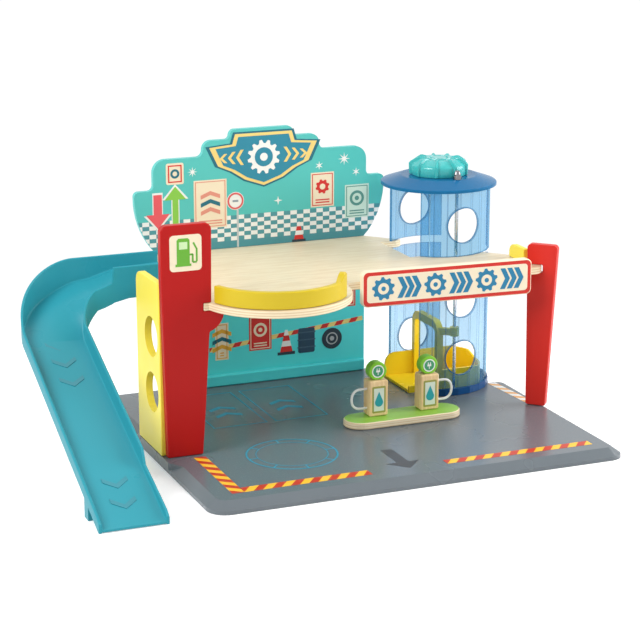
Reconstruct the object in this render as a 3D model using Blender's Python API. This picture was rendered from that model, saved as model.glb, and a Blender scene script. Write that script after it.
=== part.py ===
"""Wooden toy garage with an upper deck, a crank lift in a round tower and a hook-on ramp.

Plan positions are millimetres from the front left corner of the base board,
X to the right, Y to the back, Z up from the underside of the board.
The finished object has its origin at the middle of the board's underside.
"""
import math

import bmesh
import bpy

MM = 0.001
GAP = 0.3
SEGMENT_ANGLE = 11.25

BOARD_WIDTH = 398.0
BOARD_DEPTH = 342.0
BOARD_THICKNESS = 10.0
BOARD_CHAMFER = 9.0
BOARD_BAND = 3.5
WING_BACK = BOARD_DEPTH - 102.0

DECK_TOP = 150.0
DECK_THICKNESS = 7.0
DECK_BACK = BOARD_DEPTH - 9.0
DECK_LEFT = 50.0
DECK_RIGHT = 379.0

BALCONY_X = 113.0
BALCONY_Y = 147.0
BALCONY_RADIUS = 70.5
GUARD_RADIUS = 68.0
GUARD_WALL = 6.0
GUARD_HEIGHT = 16.0
GUARD_TAB_HEIGHT = 24.0

LEFT_PILLAR_FRONT = 130.2
PILLAR_THICKNESS = 8.0
LEFT_PILLAR_TOP = 222.5
LEFT_SLOT_X = 39.1
SIDE_WALL_THICKNESS = 6.5
SIDE_WALL_BACK = 205.0
SIDE_WALL_TOP = 169.3
SIDE_WALL_HOLE = 18.5
SIDE_WALL_HOLE_Y = 162.5
SIDE_WALL_HOLE_HEIGHTS = (64.0, 115.8)

RIGHT_PILLAR_X = 375.5
RIGHT_PILLAR_Y = 153.4
RIGHT_PILLAR_TURN = -45.0
RIGHT_PILLAR_TOP = 170.0
RIGHT_SLOT_DEPTH = 13.5

BACK_WALL_FRONT = DECK_BACK - 6.5
BACK_WALL_THICKNESS = 6.0
LOWER_WALL_LEFT = 75.0
LOWER_WALL_RIGHT = 280.0
UPPER_WALL_MIDDLE = 169.0
UPPER_WALL_TOP = 268.0
SKIRTING_DEPTH = 6.0
SKIRTING_TOP = 22.0

SIGN_LEFT = 197.5
SIGN_FRONT = 142.0
SIGN_LENGTH = 169.5
SIGN_THICKNESS = 8.0
SIGN_TURN = -3.5
SIGN_LOW = 127.0
SIGN_HIGH = 161.0

TOWER_X = 328.5
TOWER_Y = BACK_WALL_FRONT - 69.4
TOWER_RADIUS = 51.0
TOWER_WALL = 2.5
TOWER_FACETS = 24
TOWER_TOP = 213.5
WINDOW_RADIUS = 17.0
WINDOW_DIRECTION = -85.0
WINDOW_HEIGHTS = (47.5, 106.0, 180.5)
RING_START = -135.0
RING_END = 135.0
SHELL_FRONT = (-135.0, -15.0)
SHELL_BACK = (60.0, 135.0)
RING_LIP = 1.2
RING_FLOOR = 1.9
RING_TOP = 17.0
LIFT_HOLE_RADIUS = 46.0
LIFT_HOLE_LEFT = TOWER_X - 45.0
LIFT_HOLE_FRONT = TOWER_Y - 33.1
LIFT_HOLE_BACK = TOWER_Y + 36.9

ROOF_RADIUS = 57.0
ROOF_TOP = 223.0
ROOF_CEILING = 220.2
KNOB_RADIUS = 29.5
KNOB_TOP = 239.5
KNOB_RIBS = 9
AXLE_RADIUS = 4.0
DRUM_RADIUS = 8.0
CORD_RADIUS = 0.6
CORD_TOP = 226.0
ROD_X = TOWER_X + 3.5
ROD_Y = TOWER_Y - 34.1
ROD_RADIUS = 1.75
ROD_TOP = ROOF_TOP + 6.0

TRAY_LEFT = TOWER_X - 42.5
TRAY_FRONT = TOWER_Y - 28.1
TRAY_BACK = TOWER_Y + 31.4
TRAY_RADIUS = 44.5
TRAY_FLOOR = 13.0
TRAY_TOP = 36.0
TRAY_FRONT_TOP = 30.0
TRAY_LIP_TOP = 17.0
TRAY_WALL = 2.0
ARCH_WIDTH = 6.5
ARCH_POST = 6.0
ARCH_BAR = 8.0
ARCH_TOP = 79.5
SLEEVE_LOW = 66.0
SLEEVE_HIGH = 75.0
SLEEVE_RADIUS = 4.6

RAMP_FAR = 297.2
RAMP_NEAR = 244.5
RAMP_LEFT = -99.0
RAMP_RIGHT = -40.3
RAMP_FOOT_RIGHT = -38.0
RAMP_OUTER_RADIUS = 64.1
RAMP_INNER_RADIUS = 15.4
RAMP_WALL = 2.5
RAMP_FLOOR = 2.0
RAMP_RIM = 161.8
RAMP_INNER_RIM = 142.0
RAMP_TURN_FLOOR = 138.5
RAMP_FOOT_FLOOR = 2.6
RAMP_SLOPE = 0.418
PEG_RADIUS = 2.5

ISLAND_LEFT = 185.0
ISLAND_RIGHT = 303.0
ISLAND_FRONT = 137.0
ISLAND_BACK = 170.5
ISLAND_TOP = 17.0
PUMP_WIDTH = 18.8
PUMP_DEPTH = 15.0
PUMP_FRONT = 152.3
PUMP_TOP = 52.0
PUMP_LEFTS = (209.9, 263.0)
HEAD_RADIUS = 9.0
HEAD_LENGTH = 10.0
HOSE_RADIUS = 1.2
HOSE_BULGE = 17.0

SCREW_RADIUS = 1.5
SCREW_HEAD = 3.4
SCREW_LENGTH = 27.0
PIN_RADIUS = 1.5

SEAT = BOARD_THICKNESS + GAP
DECK_BOTTOM = DECK_TOP - DECK_THICKNESS


def clear_scene():
    for item in list(bpy.data.objects):
        bpy.data.objects.remove(item, do_unlink=True)


def material(name, colour, roughness, metallic=0.0, alpha=1.0):
    paint = bpy.data.materials.new(name)
    paint.use_nodes = True
    shader = paint.node_tree.nodes["Principled BSDF"]
    shader.inputs["Base Color"].default_value = (*colour, 1.0)
    shader.inputs["Roughness"].default_value = roughness
    shader.inputs["Metallic"].default_value = metallic
    shader.inputs["Alpha"].default_value = alpha
    return paint


def arc(cx, cy, radius, start, end):
    """Points on an arc in degrees, both ends included."""
    steps = max(2, math.ceil(abs(end - start) / SEGMENT_ANGLE))
    if radius > 40:
        steps *= 2
    angles = [math.radians(start + (end - start) * i / steps) for i in range(steps + 1)]
    return [(cx + radius * math.cos(a), cy + radius * math.sin(a)) for a in angles]


def rounded(corners):
    """Closed outline from (x, y, radius) corners, each corner rounded by its radius."""
    points = []
    count = len(corners)
    for index, (x, y, radius) in enumerate(corners):
        if radius == 0:
            points.append((x, y))
            continue
        before = math.atan2(corners[index - 1][1] - y, corners[index - 1][0] - x)
        following = corners[(index + 1) % count]
        after = math.atan2(following[1] - y, following[0] - x)
        opening = (after - before + math.pi) % (2 * math.pi) - math.pi
        middle = before + opening / 2
        half = abs(opening) / 2
        cx = x + radius / math.sin(half) * math.cos(middle)
        cy = y + radius / math.sin(half) * math.sin(middle)
        sweep = math.pi - 2 * half
        turn = -1 if opening > 0 else 1
        start = middle + math.pi - turn * sweep / 2
        points.extend(arc(cx, cy, radius, math.degrees(start), math.degrees(start + turn * sweep)))
    return points


def stretch(outline):
    """Middle of an outline's bounding box."""
    xs = [p[0] for p in outline]
    ys = [p[1] for p in outline]
    return (min(xs) + max(xs)) / 2, (min(ys) + max(ys)) / 2


def finish(name, mesh, origin, paint, turn=0.0):
    """Makes an object from a bmesh whose millimetres are measured from its origin."""
    bmesh.ops.recalc_face_normals(mesh, faces=mesh.faces)
    bmesh.ops.scale(mesh, vec=(MM, MM, MM), verts=mesh.verts)
    data = bpy.data.meshes.new(name)
    mesh.to_mesh(data)
    mesh.free()
    data.shade_smooth()
    data.set_sharp_from_angle(angle=math.radians(28))
    if paint is not None:
        data.materials.append(paint)
    item = bpy.data.objects.new(name, data)
    bpy.context.scene.collection.objects.link(item)
    x, y, z = origin
    item.location = ((x - BOARD_WIDTH / 2) * MM, (y - BOARD_DEPTH / 2) * MM, z * MM)
    item.rotation_euler = (0.0, 0.0, math.radians(turn))
    return item


def loft(rings, closed=False):
    """Skin over rings of equal length, with flat ends unless the rings close on themselves."""
    mesh = bmesh.new()
    loops = [[mesh.verts.new(p) for p in ring] for ring in rings]
    count = len(loops[0])
    pairs = list(zip(loops, loops[1:]))
    if closed:
        pairs.append((loops[-1], loops[0]))
    for low, high in pairs:
        for i in range(count):
            j = (i + 1) % count
            mesh.faces.new((low[i], low[j], high[j], high[i]))
    if not closed:
        mesh.faces.new(reversed(loops[0]))
        mesh.faces.new(loops[-1])
    return mesh


def board_piece(name, outline, low, high, paint, origin=None):
    """Plate lying flat."""
    mx, my = stretch(outline) if origin is None else origin[:2]
    mz = low if origin is None else origin[2]
    rings = [[(x - mx, y - my, z - mz) for x, y in outline] for z in (low, high)]
    return finish(name, loft(rings), (mx, my, mz), paint)


def wall_piece(name, outline, front, back, paint):
    """Plate standing parallel to the front, its outline given as (x, z)."""
    mx, _ = stretch(outline)
    low = min(p[1] for p in outline)
    rings = [[(x - mx, y - front, z - low) for x, z in outline] for y in (front, back)]
    return finish(name, loft(rings), (mx, front, low), paint)


def side_piece(name, outline, left, right, paint):
    """Plate standing parallel to the side, its outline given as (y, z)."""
    my, _ = stretch(outline)
    low = min(p[1] for p in outline)
    rings = [[(x - left, y - my, z - low) for y, z in outline] for x in (left, right)]
    return finish(name, loft(rings), (left, my, low), paint)


def turned_mesh(profile, steps, z0):
    """Turned solid from an (r, z) profile, closed at the axis or on itself."""
    mesh = bmesh.new()
    rings = []
    for r, z in profile:
        if r == 0:
            rings.append([mesh.verts.new((0.0, 0.0, z - z0))])
            continue
        angles = [2 * math.pi * i / steps for i in range(steps)]
        rings.append([mesh.verts.new((r * math.cos(a), r * math.sin(a), z - z0)) for a in angles])
    pairs = list(zip(rings, rings[1:]))
    if profile[0][0] > 0:
        pairs.append((rings[-1], rings[0]))
    for low, high in pairs:
        for i in range(steps):
            j = (i + 1) % steps
            face = [low[i % len(low)], low[j % len(low)], high[j % len(high)], high[i % len(high)]]
            mesh.faces.new(list(dict.fromkeys(face)))
    return mesh


def turned(name, profile, steps, x, y, z, paint):
    return finish(name, turned_mesh(profile, steps, z), (x, y, z), paint)


def tube(name, path, radius, sides, paint):
    """Round bar along (x, y, z) points in a plane parallel to the front."""
    rings = []
    for index, (x, y, z) in enumerate(path):
        x0, _, z0 = path[max(index - 1, 0)]
        x1, _, z1 = path[min(index + 1, len(path) - 1)]
        length = math.hypot(x1 - x0, z1 - z0)
        nx, nz = -(z1 - z0) / length, (x1 - x0) / length
        ring = []
        for i in range(sides):
            a = 2 * math.pi * i / sides
            across = radius * math.cos(a)
            ring.append((x + nx * across, y + radius * math.sin(a), z + nz * across))
        rings.append(ring)
    ox, oy, oz = path[0]
    rings = [[(x - ox, y - oy, z - oz) for x, y, z in ring] for ring in rings]
    return finish(name, loft(rings), (ox, oy, oz), paint)


def round_edges(item, width, angle=35.0):
    """Small rounding of a cut piece's edges."""
    bevel = item.modifiers.new("rounded edges", "BEVEL")
    bevel.width = width * MM
    bevel.segments = 1
    bevel.limit_method = "ANGLE"
    bevel.angle_limit = math.radians(angle)


def guide(item):
    item.hide_render = True
    item.display_type = "WIRE"
    return item


def combine(item, tool, operation):
    modifier = item.modifiers.new(operation.lower(), "BOOLEAN")
    modifier.operation = operation
    modifier.solver = "EXACT"
    modifier.object = guide(tool)


def cut(item, tool):
    combine(item, tool, "DIFFERENCE")


def join(item, tool):
    combine(item, tool, "UNION")


def drill(item, x, y, low, high, radius, sides=20):
    """Upright bore."""
    profile = [(0, low), (radius, low), (radius, high), (0, high)]
    cut(item, turned(item.name + "_bore", profile, sides, x, y, low, None))


def drill_side(item, x, y, z, radius, length, turn, sides=40):
    """Level bore through a point, its axis turned from +X by degrees."""
    half = length / 2
    a = math.radians(turn)
    rings = []
    for along in (-half, half):
        ring = []
        for i in range(sides):
            b = 2 * math.pi * i / sides
            across = radius * math.cos(b)
            px = along * math.cos(a) - across * math.sin(a)
            py = along * math.sin(a) + across * math.cos(a)
            ring.append((px, py, radius * math.sin(b)))
        rings.append(ring)
    cut(item, finish(item.name + "_hole", loft(rings), (x, y, z), None))


def screw_profile(extra):
    """Countersunk screw from below the board, grown by extra on its sides and point."""
    low = 0.6 if extra == 0 else -1.0
    head = SCREW_HEAD + extra
    body = SCREW_RADIUS + extra
    tip = 0.6 + SCREW_LENGTH + extra
    return [(0, low), (head, low), (head, 1.0 + extra), (body, 3.0 + extra), (body, tip - 2.0), (0, tip)]


def screw(name, x, y, board, upright, paint):
    """Screw through the board into an upright, with its bore in both."""
    for item in (board, upright):
        cut(item, turned(item.name + "_" + name, screw_profile(GAP), 16, x, y, 0.6, None))
    return turned(name, screw_profile(0), 16, x, y, 0.6, paint)


def base_board(paint):
    """Flat board with a wide chamfer, a cut corner, and a round lobe below the tower."""
    lobe = TOWER_RADIUS + 3.0
    lobe_top = lobe - 1.0
    wing_inner = WING_BACK - BOARD_CHAMFER

    def on_lobe(radius, y):
        return math.degrees(math.asin((y - TOWER_Y) / radius))

    c = BOARD_CHAMFER
    outer = arc(18, 18, 18, 180, 270)
    inner = arc(18, 18, 18 - c, 180, 270)
    outer += arc(BOARD_WIDTH - 14, 14, 14, 270, 360)
    inner += arc(BOARD_WIDTH - 14, 14, 14 - c, 270, 360)
    outer += arc(BOARD_WIDTH - 16, WING_BACK - 16, 16, 0, 90)
    inner += arc(BOARD_WIDTH - 16, WING_BACK - 16, 16 - c, 0, 90)
    steps = 26
    outer_ends = (on_lobe(lobe, WING_BACK), 109.0)
    inner_ends = (on_lobe(lobe_top, wing_inner), 118.0)
    for i in range(steps + 1):
        a, b = [math.radians(e[0] + (e[1] - e[0]) * i / steps) for e in (outer_ends, inner_ends)]
        outer.append((TOWER_X + lobe * math.cos(a), TOWER_Y + lobe * math.sin(a)))
        inner.append((TOWER_X + lobe_top * math.cos(b), TOWER_Y + lobe_top * math.sin(b)))
    outer.append((277.0, BOARD_DEPTH))
    inner.append((273.3, BOARD_DEPTH - c))
    outer += arc(16, BOARD_DEPTH - 16, 16, 90, 180)
    inner += arc(16, BOARD_DEPTH - 16, 16 - c, 90, 180)
    for y_outer, inset in ((222.0, c), (210.0, 0.0), (120.0, 0.0), (104.0, c)):
        outer.append((0.0, y_outer))
        inner.append((inset, y_outer))
    mx, my = BOARD_WIDTH / 2, BOARD_DEPTH / 2
    rings = []
    for outline, z in ((outer, 0.0), (outer, BOARD_BAND), (inner, BOARD_THICKNESS)):
        rings.append([(x - mx, y - my, z) for x, y in outline])
    return finish("base_board", loft(rings), (mx, my, 0.0), paint)


def left_pillar(paint):
    """Front left upright with the deck's slot and a quarter round bracket below it."""
    low, high = DECK_BOTTOM - GAP, DECK_TOP + GAP
    top = LEFT_PILLAR_TOP
    bracket = arc(38.5, low, 20.3, -72, 0)
    outline = [(3.8, SEAT), (36.8, SEAT), (39.9, 51.0), (42.3, 88.0), (44.2, 118.0)]
    outline += bracket
    outline += [(LEFT_SLOT_X, low), (LEFT_SLOT_X, high), (46.6, high)]
    outline += arc(41.4, top - 6, 6, 2, 90)
    outline += arc(6.4, top - 6, 6, 90, 178)
    outline += [(0.3, 176.0), (1.2, 130.0)]
    front = LEFT_PILLAR_FRONT
    item = wall_piece("left_pillar", outline, front, front + PILLAR_THICKNESS, paint)
    round_edges(item, 0.7)
    return item


def left_side_wall(paint):
    """Side wall behind the left pillar with two round windows."""
    front = LEFT_PILLAR_FRONT + PILLAR_THICKNESS + GAP
    back, top = SIDE_WALL_BACK, SIDE_WALL_TOP
    corners = [(front, SEAT, 0), (back, SEAT, 0), (back, top - 1.0, 11), (front, top, 0)]
    item = side_piece("left_side_wall", rounded(corners), 0.0, SIDE_WALL_THICKNESS, paint)
    round_edges(item, 0.6)
    for z in SIDE_WALL_HOLE_HEIGHTS:
        drill_side(item, SIDE_WALL_THICKNESS / 2, SIDE_WALL_HOLE_Y, z, SIDE_WALL_HOLE, 20.0, 0.0)
    return item


def lower_back_wall(paint):
    low, high = SEAT, DECK_BOTTOM - GAP
    left, right = LOWER_WALL_LEFT, LOWER_WALL_RIGHT
    outline = [(left, low), (right, low), (right, high), (left, high)]
    back = BACK_WALL_FRONT + BACK_WALL_THICKNESS
    item = wall_piece("lower_back_wall", outline, BACK_WALL_FRONT, back, paint)
    round_edges(item, 0.5)
    return item


def wall_skirting(paint):
    front = BACK_WALL_FRONT - GAP - SKIRTING_DEPTH
    outline = [(LOWER_WALL_LEFT + 2, SEAT), (LOWER_WALL_RIGHT - 2, SEAT)]
    outline += [(LOWER_WALL_RIGHT - 2, SKIRTING_TOP), (LOWER_WALL_LEFT + 2, SKIRTING_TOP)]
    item = wall_piece("wall_skirting", outline, front, front + SKIRTING_DEPTH, paint)
    round_edges(item, 1.2)
    return item


def upper_back_wall(paint):
    """Stepped cloud-shaped back wall standing on the deck."""
    low = DECK_TOP + GAP
    half = [(109.5, low, 0)]
    half += [(x, z, 0) for x, z in arc(48.2, 206.0, 83.3, -41.7, -4)]
    half += [(131.5, 213.0, 5), (112.0, 213.0, 5), (112.0, 243.0, 13), (61.0, 243.0, 6)]
    half += [(61.0, 258.5, 9), (33.3, 258.5, 4), (33.3, UPPER_WALL_TOP, 6)]
    half = half[:1] + half[2:]
    corners = [(UPPER_WALL_MIDDLE + x, z, r) for x, z, r in half]
    corners += [(UPPER_WALL_MIDDLE - x, z, r) for x, z, r in reversed(half)]
    back = BACK_WALL_FRONT + BACK_WALL_THICKNESS
    item = wall_piece("upper_back_wall", rounded(corners), BACK_WALL_FRONT, back, paint)
    round_edges(item, 0.7)
    return item


def deck(paint):
    """Upper floor with a half round balcony and a bay for the lift, open behind the tower."""
    side_edge = SIDE_WALL_THICKNESS + GAP
    pillar_back = LEFT_PILLAR_FRONT + PILLAR_THICKNESS
    slot_edge = LEFT_SLOT_X + GAP
    slope = math.tan(math.radians(SIGN_TURN))
    sign_back = SIGN_FRONT + SIGN_THICKNESS / math.cos(math.radians(SIGN_TURN)) + GAP
    front_left = sign_back + 8.0 * slope * 0.7
    front_right = sign_back + (372.0 - SIGN_LEFT) * slope
    start = 180 + math.degrees(math.asin((BALCONY_Y - LEFT_PILLAR_FRONT) / BALCONY_RADIUS))
    outline = arc(BALCONY_X, BALCONY_Y, BALCONY_RADIUS, start, 357)
    outline += [(187.0, sign_back - 0.5), (SIGN_LEFT + 5.0, front_left)]
    corner = rounded([(SIGN_LEFT, sign_back, 0), (386.0, front_right - 0.8, 11), (386.0, 170.0, 0)])
    outline += corner[1:-1]
    outline += [(386.0, 153.0), (383.4, 158.5), (380.2, 164.0), (DECK_RIGHT, 172.0)]
    outline += arc(DECK_RIGHT - 12, 190.0, 12, 0, 45)
    front, back = LIFT_HOLE_FRONT, LIFT_HOLE_BACK
    front_end = -180 - math.degrees(math.asin((front - TOWER_Y) / LIFT_HOLE_RADIUS))
    back_end = 180 - math.degrees(math.asin((back - TOWER_Y) / LIFT_HOLE_RADIUS))
    outline += arc(TOWER_X, TOWER_Y, LIFT_HOLE_RADIUS, -53.5, front_end)
    outline += [(LIFT_HOLE_LEFT, front), (LIFT_HOLE_LEFT, back)]
    outline += arc(TOWER_X, TOWER_Y, LIFT_HOLE_RADIUS, back_end, 118.0)
    outline += [(276.0, DECK_BACK)]
    outline += arc(DECK_LEFT + 5, DECK_BACK - 5, 5, 90, 180)
    outline += [(DECK_LEFT, SIDE_WALL_BACK + 1.0), (side_edge + 4.0, SIDE_WALL_BACK + 1.0)]
    outline += [(side_edge, SIDE_WALL_BACK - 3.0), (side_edge, pillar_back + GAP)]
    outline += [(slot_edge, pillar_back + GAP), (slot_edge, LEFT_PILLAR_FRONT - GAP)]
    item = board_piece("deck", outline, DECK_BOTTOM, DECK_TOP, paint)
    round_edges(item, 0.6)
    return item


def balcony_guard(paint):
    """Curved rail on the balcony's edge with a raised rounded end."""
    low = DECK_TOP + GAP
    inner = GUARD_RADIUS - GUARD_WALL
    first, last = 196.6, 321.0
    rings = []
    steps = 44
    for i in range(steps + 1):
        degrees = first + (last - first) * i / steps
        a = math.radians(degrees)
        top = low + GUARD_HEIGHT - GAP
        if degrees > 311:
            share = (degrees - 311) / (last - 311)
            top += (GUARD_TAB_HEIGHT - GUARD_HEIGHT) * math.sin(math.pi * min(1.0, share * 1.25) / 2) ** 0.6
        if i == steps:
            top -= 2.0
        ca, sa = math.cos(a), math.sin(a)
        section = ((inner, low), (GUARD_RADIUS, low), (GUARD_RADIUS, top), (inner, top))
        rings.append([(r * ca, r * sa, z - low) for r, z in section])
    item = finish("balcony_guard", loft(rings), (BALCONY_X, BALCONY_Y, low), paint)
    round_edges(item, 0.7)
    return item


def sign_board(paint):
    """Long sign fixed to the deck's front edge, turned a little with it."""
    corners = [(0, SIGN_LOW, 5), (SIGN_LENGTH, SIGN_LOW, 5), (SIGN_LENGTH, SIGN_HIGH, 5), (0, SIGN_HIGH, 5)]
    rings = []
    for y in (0.0, SIGN_THICKNESS):
        rings.append([(x, y, z - SIGN_LOW) for x, z in rounded(corners)])
    origin = (SIGN_LEFT, SIGN_FRONT, SIGN_LOW)
    item = finish("sign_board", loft(rings), origin, paint, SIGN_TURN)
    round_edges(item, 0.7)
    return item


def right_pillar(paint):
    """Front right upright turned by 45 degrees, its left edge slotted over the deck."""
    low, high = DECK_BOTTOM - GAP, DECK_TOP + GAP
    top = RIGHT_PILLAR_TOP
    slot = RIGHT_SLOT_DEPTH
    corners = [(0, SEAT, 2), (19.5, SEAT, 2), (27.5, top, 4), (-2.2, top, 4)]
    corners += [(-1.9, high, 0), (slot, high, 0), (slot, low, 0), (-1.8, low, 0)]
    outline = rounded(corners)
    rings = []
    for y in (0.0, PILLAR_THICKNESS):
        rings.append([(x, y, z - SEAT) for x, z in outline])
    origin = (RIGHT_PILLAR_X, RIGHT_PILLAR_Y, SEAT)
    item = finish("right_pillar", loft(rings), origin, paint, RIGHT_PILLAR_TURN)
    round_edges(item, 0.7)
    return item


def right_rail(paint):
    """Low rail on the deck's right edge."""
    low = DECK_TOP + GAP
    top = 163.5
    corners = [(160.4, low, 0), (190.0, low, 0), (190.0, top, 8), (160.4, top, 1)]
    item = side_piece("right_rail", rounded(corners), 373.0, DECK_RIGHT - 0.5, paint)
    round_edges(item, 0.6)
    return item


def facet_ring(radius, start, end):
    """Points of the faceted tower section from start to end degrees."""
    count = round((end - start) / (360 / TOWER_FACETS))
    points = []
    for i in range(count + 1):
        a = math.radians(start + (end - start) * i / count)
        points.append((TOWER_X + radius * math.cos(a), TOWER_Y + radius * math.sin(a)))
    return points


def open_ring(outer, inner, start, end):
    return facet_ring(outer, start, end) + list(reversed(facet_ring(inner, start, end)))


def tower_base_ring(paint):
    """Open ring on the board with a floor and a lip round the lower shell."""
    outer = TOWER_RADIUS + GAP + RING_LIP
    outline = open_ring(outer, LIFT_HOLE_RADIUS, RING_START, RING_END)
    item = board_piece("tower_base_ring", outline, SEAT, RING_TOP, paint)
    seat = open_ring(TOWER_RADIUS + GAP, LIFT_HOLE_RADIUS - 2, RING_START, RING_END)
    pocket = board_piece("tower_base_ring_seat", seat, SEAT + RING_FLOOR, RING_TOP + 5, None)
    cut(item, pocket)
    return item


def tower_shell(name, sector, low, high, windows, paint):
    """Faceted clear wall over one sector of the tower, with round windows."""
    outline = open_ring(TOWER_RADIUS, TOWER_RADIUS - TOWER_WALL, *sector)
    item = board_piece(name, outline, low, high, paint)
    for z in windows:
        drill_side(item, TOWER_X, TOWER_Y, z, WINDOW_RADIUS, 2.4 * TOWER_RADIUS, WINDOW_DIRECTION)
    return item


def tower_roof(paint):
    """Shallow dome resting on the upper shell, with bores for the axle, the cord and the rod."""
    low = TOWER_TOP + GAP
    radius = ROOF_RADIUS
    seat = TOWER_RADIUS - TOWER_WALL - 1.0
    profile = [(0, ROOF_TOP), (37.6, ROOF_TOP), (39.0, ROOF_TOP - 0.4), (radius - 0.8, low + 3.0)]
    profile += [(radius, low + 2.2), (radius, low), (seat, low), (seat - 2, low + 2.0)]
    profile += [(37.0, ROOF_CEILING), (0, ROOF_CEILING)]
    item = turned("tower_roof", profile, 72, TOWER_X, TOWER_Y, low, paint)
    drill(item, TOWER_X, TOWER_Y, low, ROOF_TOP + 5, AXLE_RADIUS + GAP)
    drill(item, TOWER_X - cord_reach(), TOWER_Y, low, ROOF_TOP + 5, CORD_RADIUS + GAP, 12)
    drill(item, ROD_X, ROD_Y, low, ROOF_TOP + 5, ROD_RADIUS + GAP, 16)
    return item


def cord_reach():
    """Distance from the knob's axis to the middle of the cord on the drum."""
    return DRUM_RADIUS + GAP + CORD_RADIUS


def lift_knob(paint):
    """Hollow ribbed knob on the roof."""
    low = ROOF_TOP + GAP
    ceiling = 232.5
    steps = KNOB_RIBS * 8
    socket = 5.0 + GAP

    def ring(radius, z, proud):
        points = []
        for i in range(steps):
            a = 2 * math.pi * i / steps
            r = radius + proud * max(0.0, math.cos(KNOB_RIBS * a)) ** 8
            points.append((r * math.cos(a), r * math.sin(a), z - low))
        return points

    side = KNOB_RADIUS - 1.0
    rings = [ring(socket, 236.5, 0), ring(socket, ceiling, 0), ring(25.0, ceiling, 0), ring(25.5, low, 0)]
    rings += [ring(side - 0.5, low, 1.3), ring(side, low + 0.6, 1.5)]
    rings += [ring(side, 233.4, 1.5), ring(side - 0.8, 234.4, 1.5)]
    rings += [ring(20.6, KNOB_TOP - 0.5, 1.8), ring(19.8, KNOB_TOP, 0)]
    rings += [ring(9.4, KNOB_TOP, 0), ring(9.0, KNOB_TOP - 0.9, 0), ring(7.8, KNOB_TOP - 0.9, 0)]
    rings += [ring(7.4, KNOB_TOP, 0)]
    return finish("lift_knob", loft(rings), (TOWER_X, TOWER_Y, low), paint)


def knob_drum(paint):
    """Axle and cord drum turned as one piece below the knob."""
    profile = [(0, 217.6), (3.6, 217.6), (AXLE_RADIUS, 218.0), (AXLE_RADIUS, 218.1), (3.0, 218.1)]
    profile += [(3.0, 219.9), (AXLE_RADIUS, 219.9), (AXLE_RADIUS, ROOF_TOP + GAP)]
    profile += [(DRUM_RADIUS, ROOF_TOP + GAP), (DRUM_RADIUS, 230.5), (11.0, 230.5), (11.0, 232.2)]
    profile += [(5.0, 232.2), (5.0, 236.2), (0, 236.2)]
    return turned("knob_drum", profile, 24, TOWER_X, TOWER_Y, ROOF_TOP + GAP, paint)


def axle_clip(paint):
    """Spring ring in the axle's groove below the roof."""
    low, high = 218.4, 219.6
    profile = [(3.3, low), (6.4, low), (6.4, high), (3.3, high)]
    item = turned("axle_clip", profile, 24, TOWER_X, TOWER_Y, low, paint)
    mouth = [(TOWER_X, TOWER_Y - 1.6), (TOWER_X + 9, TOWER_Y - 2.4)]
    mouth += [(TOWER_X + 9, TOWER_Y + 2.4), (TOWER_X, TOWER_Y + 1.6)]
    cut(item, board_piece("axle_clip_mouth", mouth, low - 2, high + 2, None))
    return item


def lift_cord(paint):
    """Cord from the drum down to the carriage's arch."""
    low = ARCH_TOP + GAP
    profile = [(0, low), (CORD_RADIUS, low), (CORD_RADIUS, CORD_TOP), (0, CORD_TOP)]
    return turned("lift_cord", profile, 12, TOWER_X - cord_reach(), TOWER_Y, low, paint)


def guide_rod(paint):
    """Steel rod from the board through the roof."""
    low, high = 4.0, ROD_TOP
    profile = [(0, low), (ROD_RADIUS, low), (ROD_RADIUS, high), (0, high)]
    return turned("guide_rod", profile, 20, ROD_X, ROD_Y, low, paint)


def rod_nut(paint):
    """Domed nut on the rod's upper end."""
    low = ROOF_TOP + GAP
    bore = ROD_RADIUS + GAP
    profile = [(bore, low), (4.1, low), (4.1, low + 2.6), (3.4, low + 3.2), (3.4, low + 5.0)]
    profile += [(2.6, low + 7.4), (1.2, low + 8.6), (0, low + 8.8)]
    profile = [(0, ROD_TOP + GAP), (bore, ROD_TOP + GAP)] + profile
    return turned("rod_nut", profile, 24, ROD_X, ROD_Y, low, paint)


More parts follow.
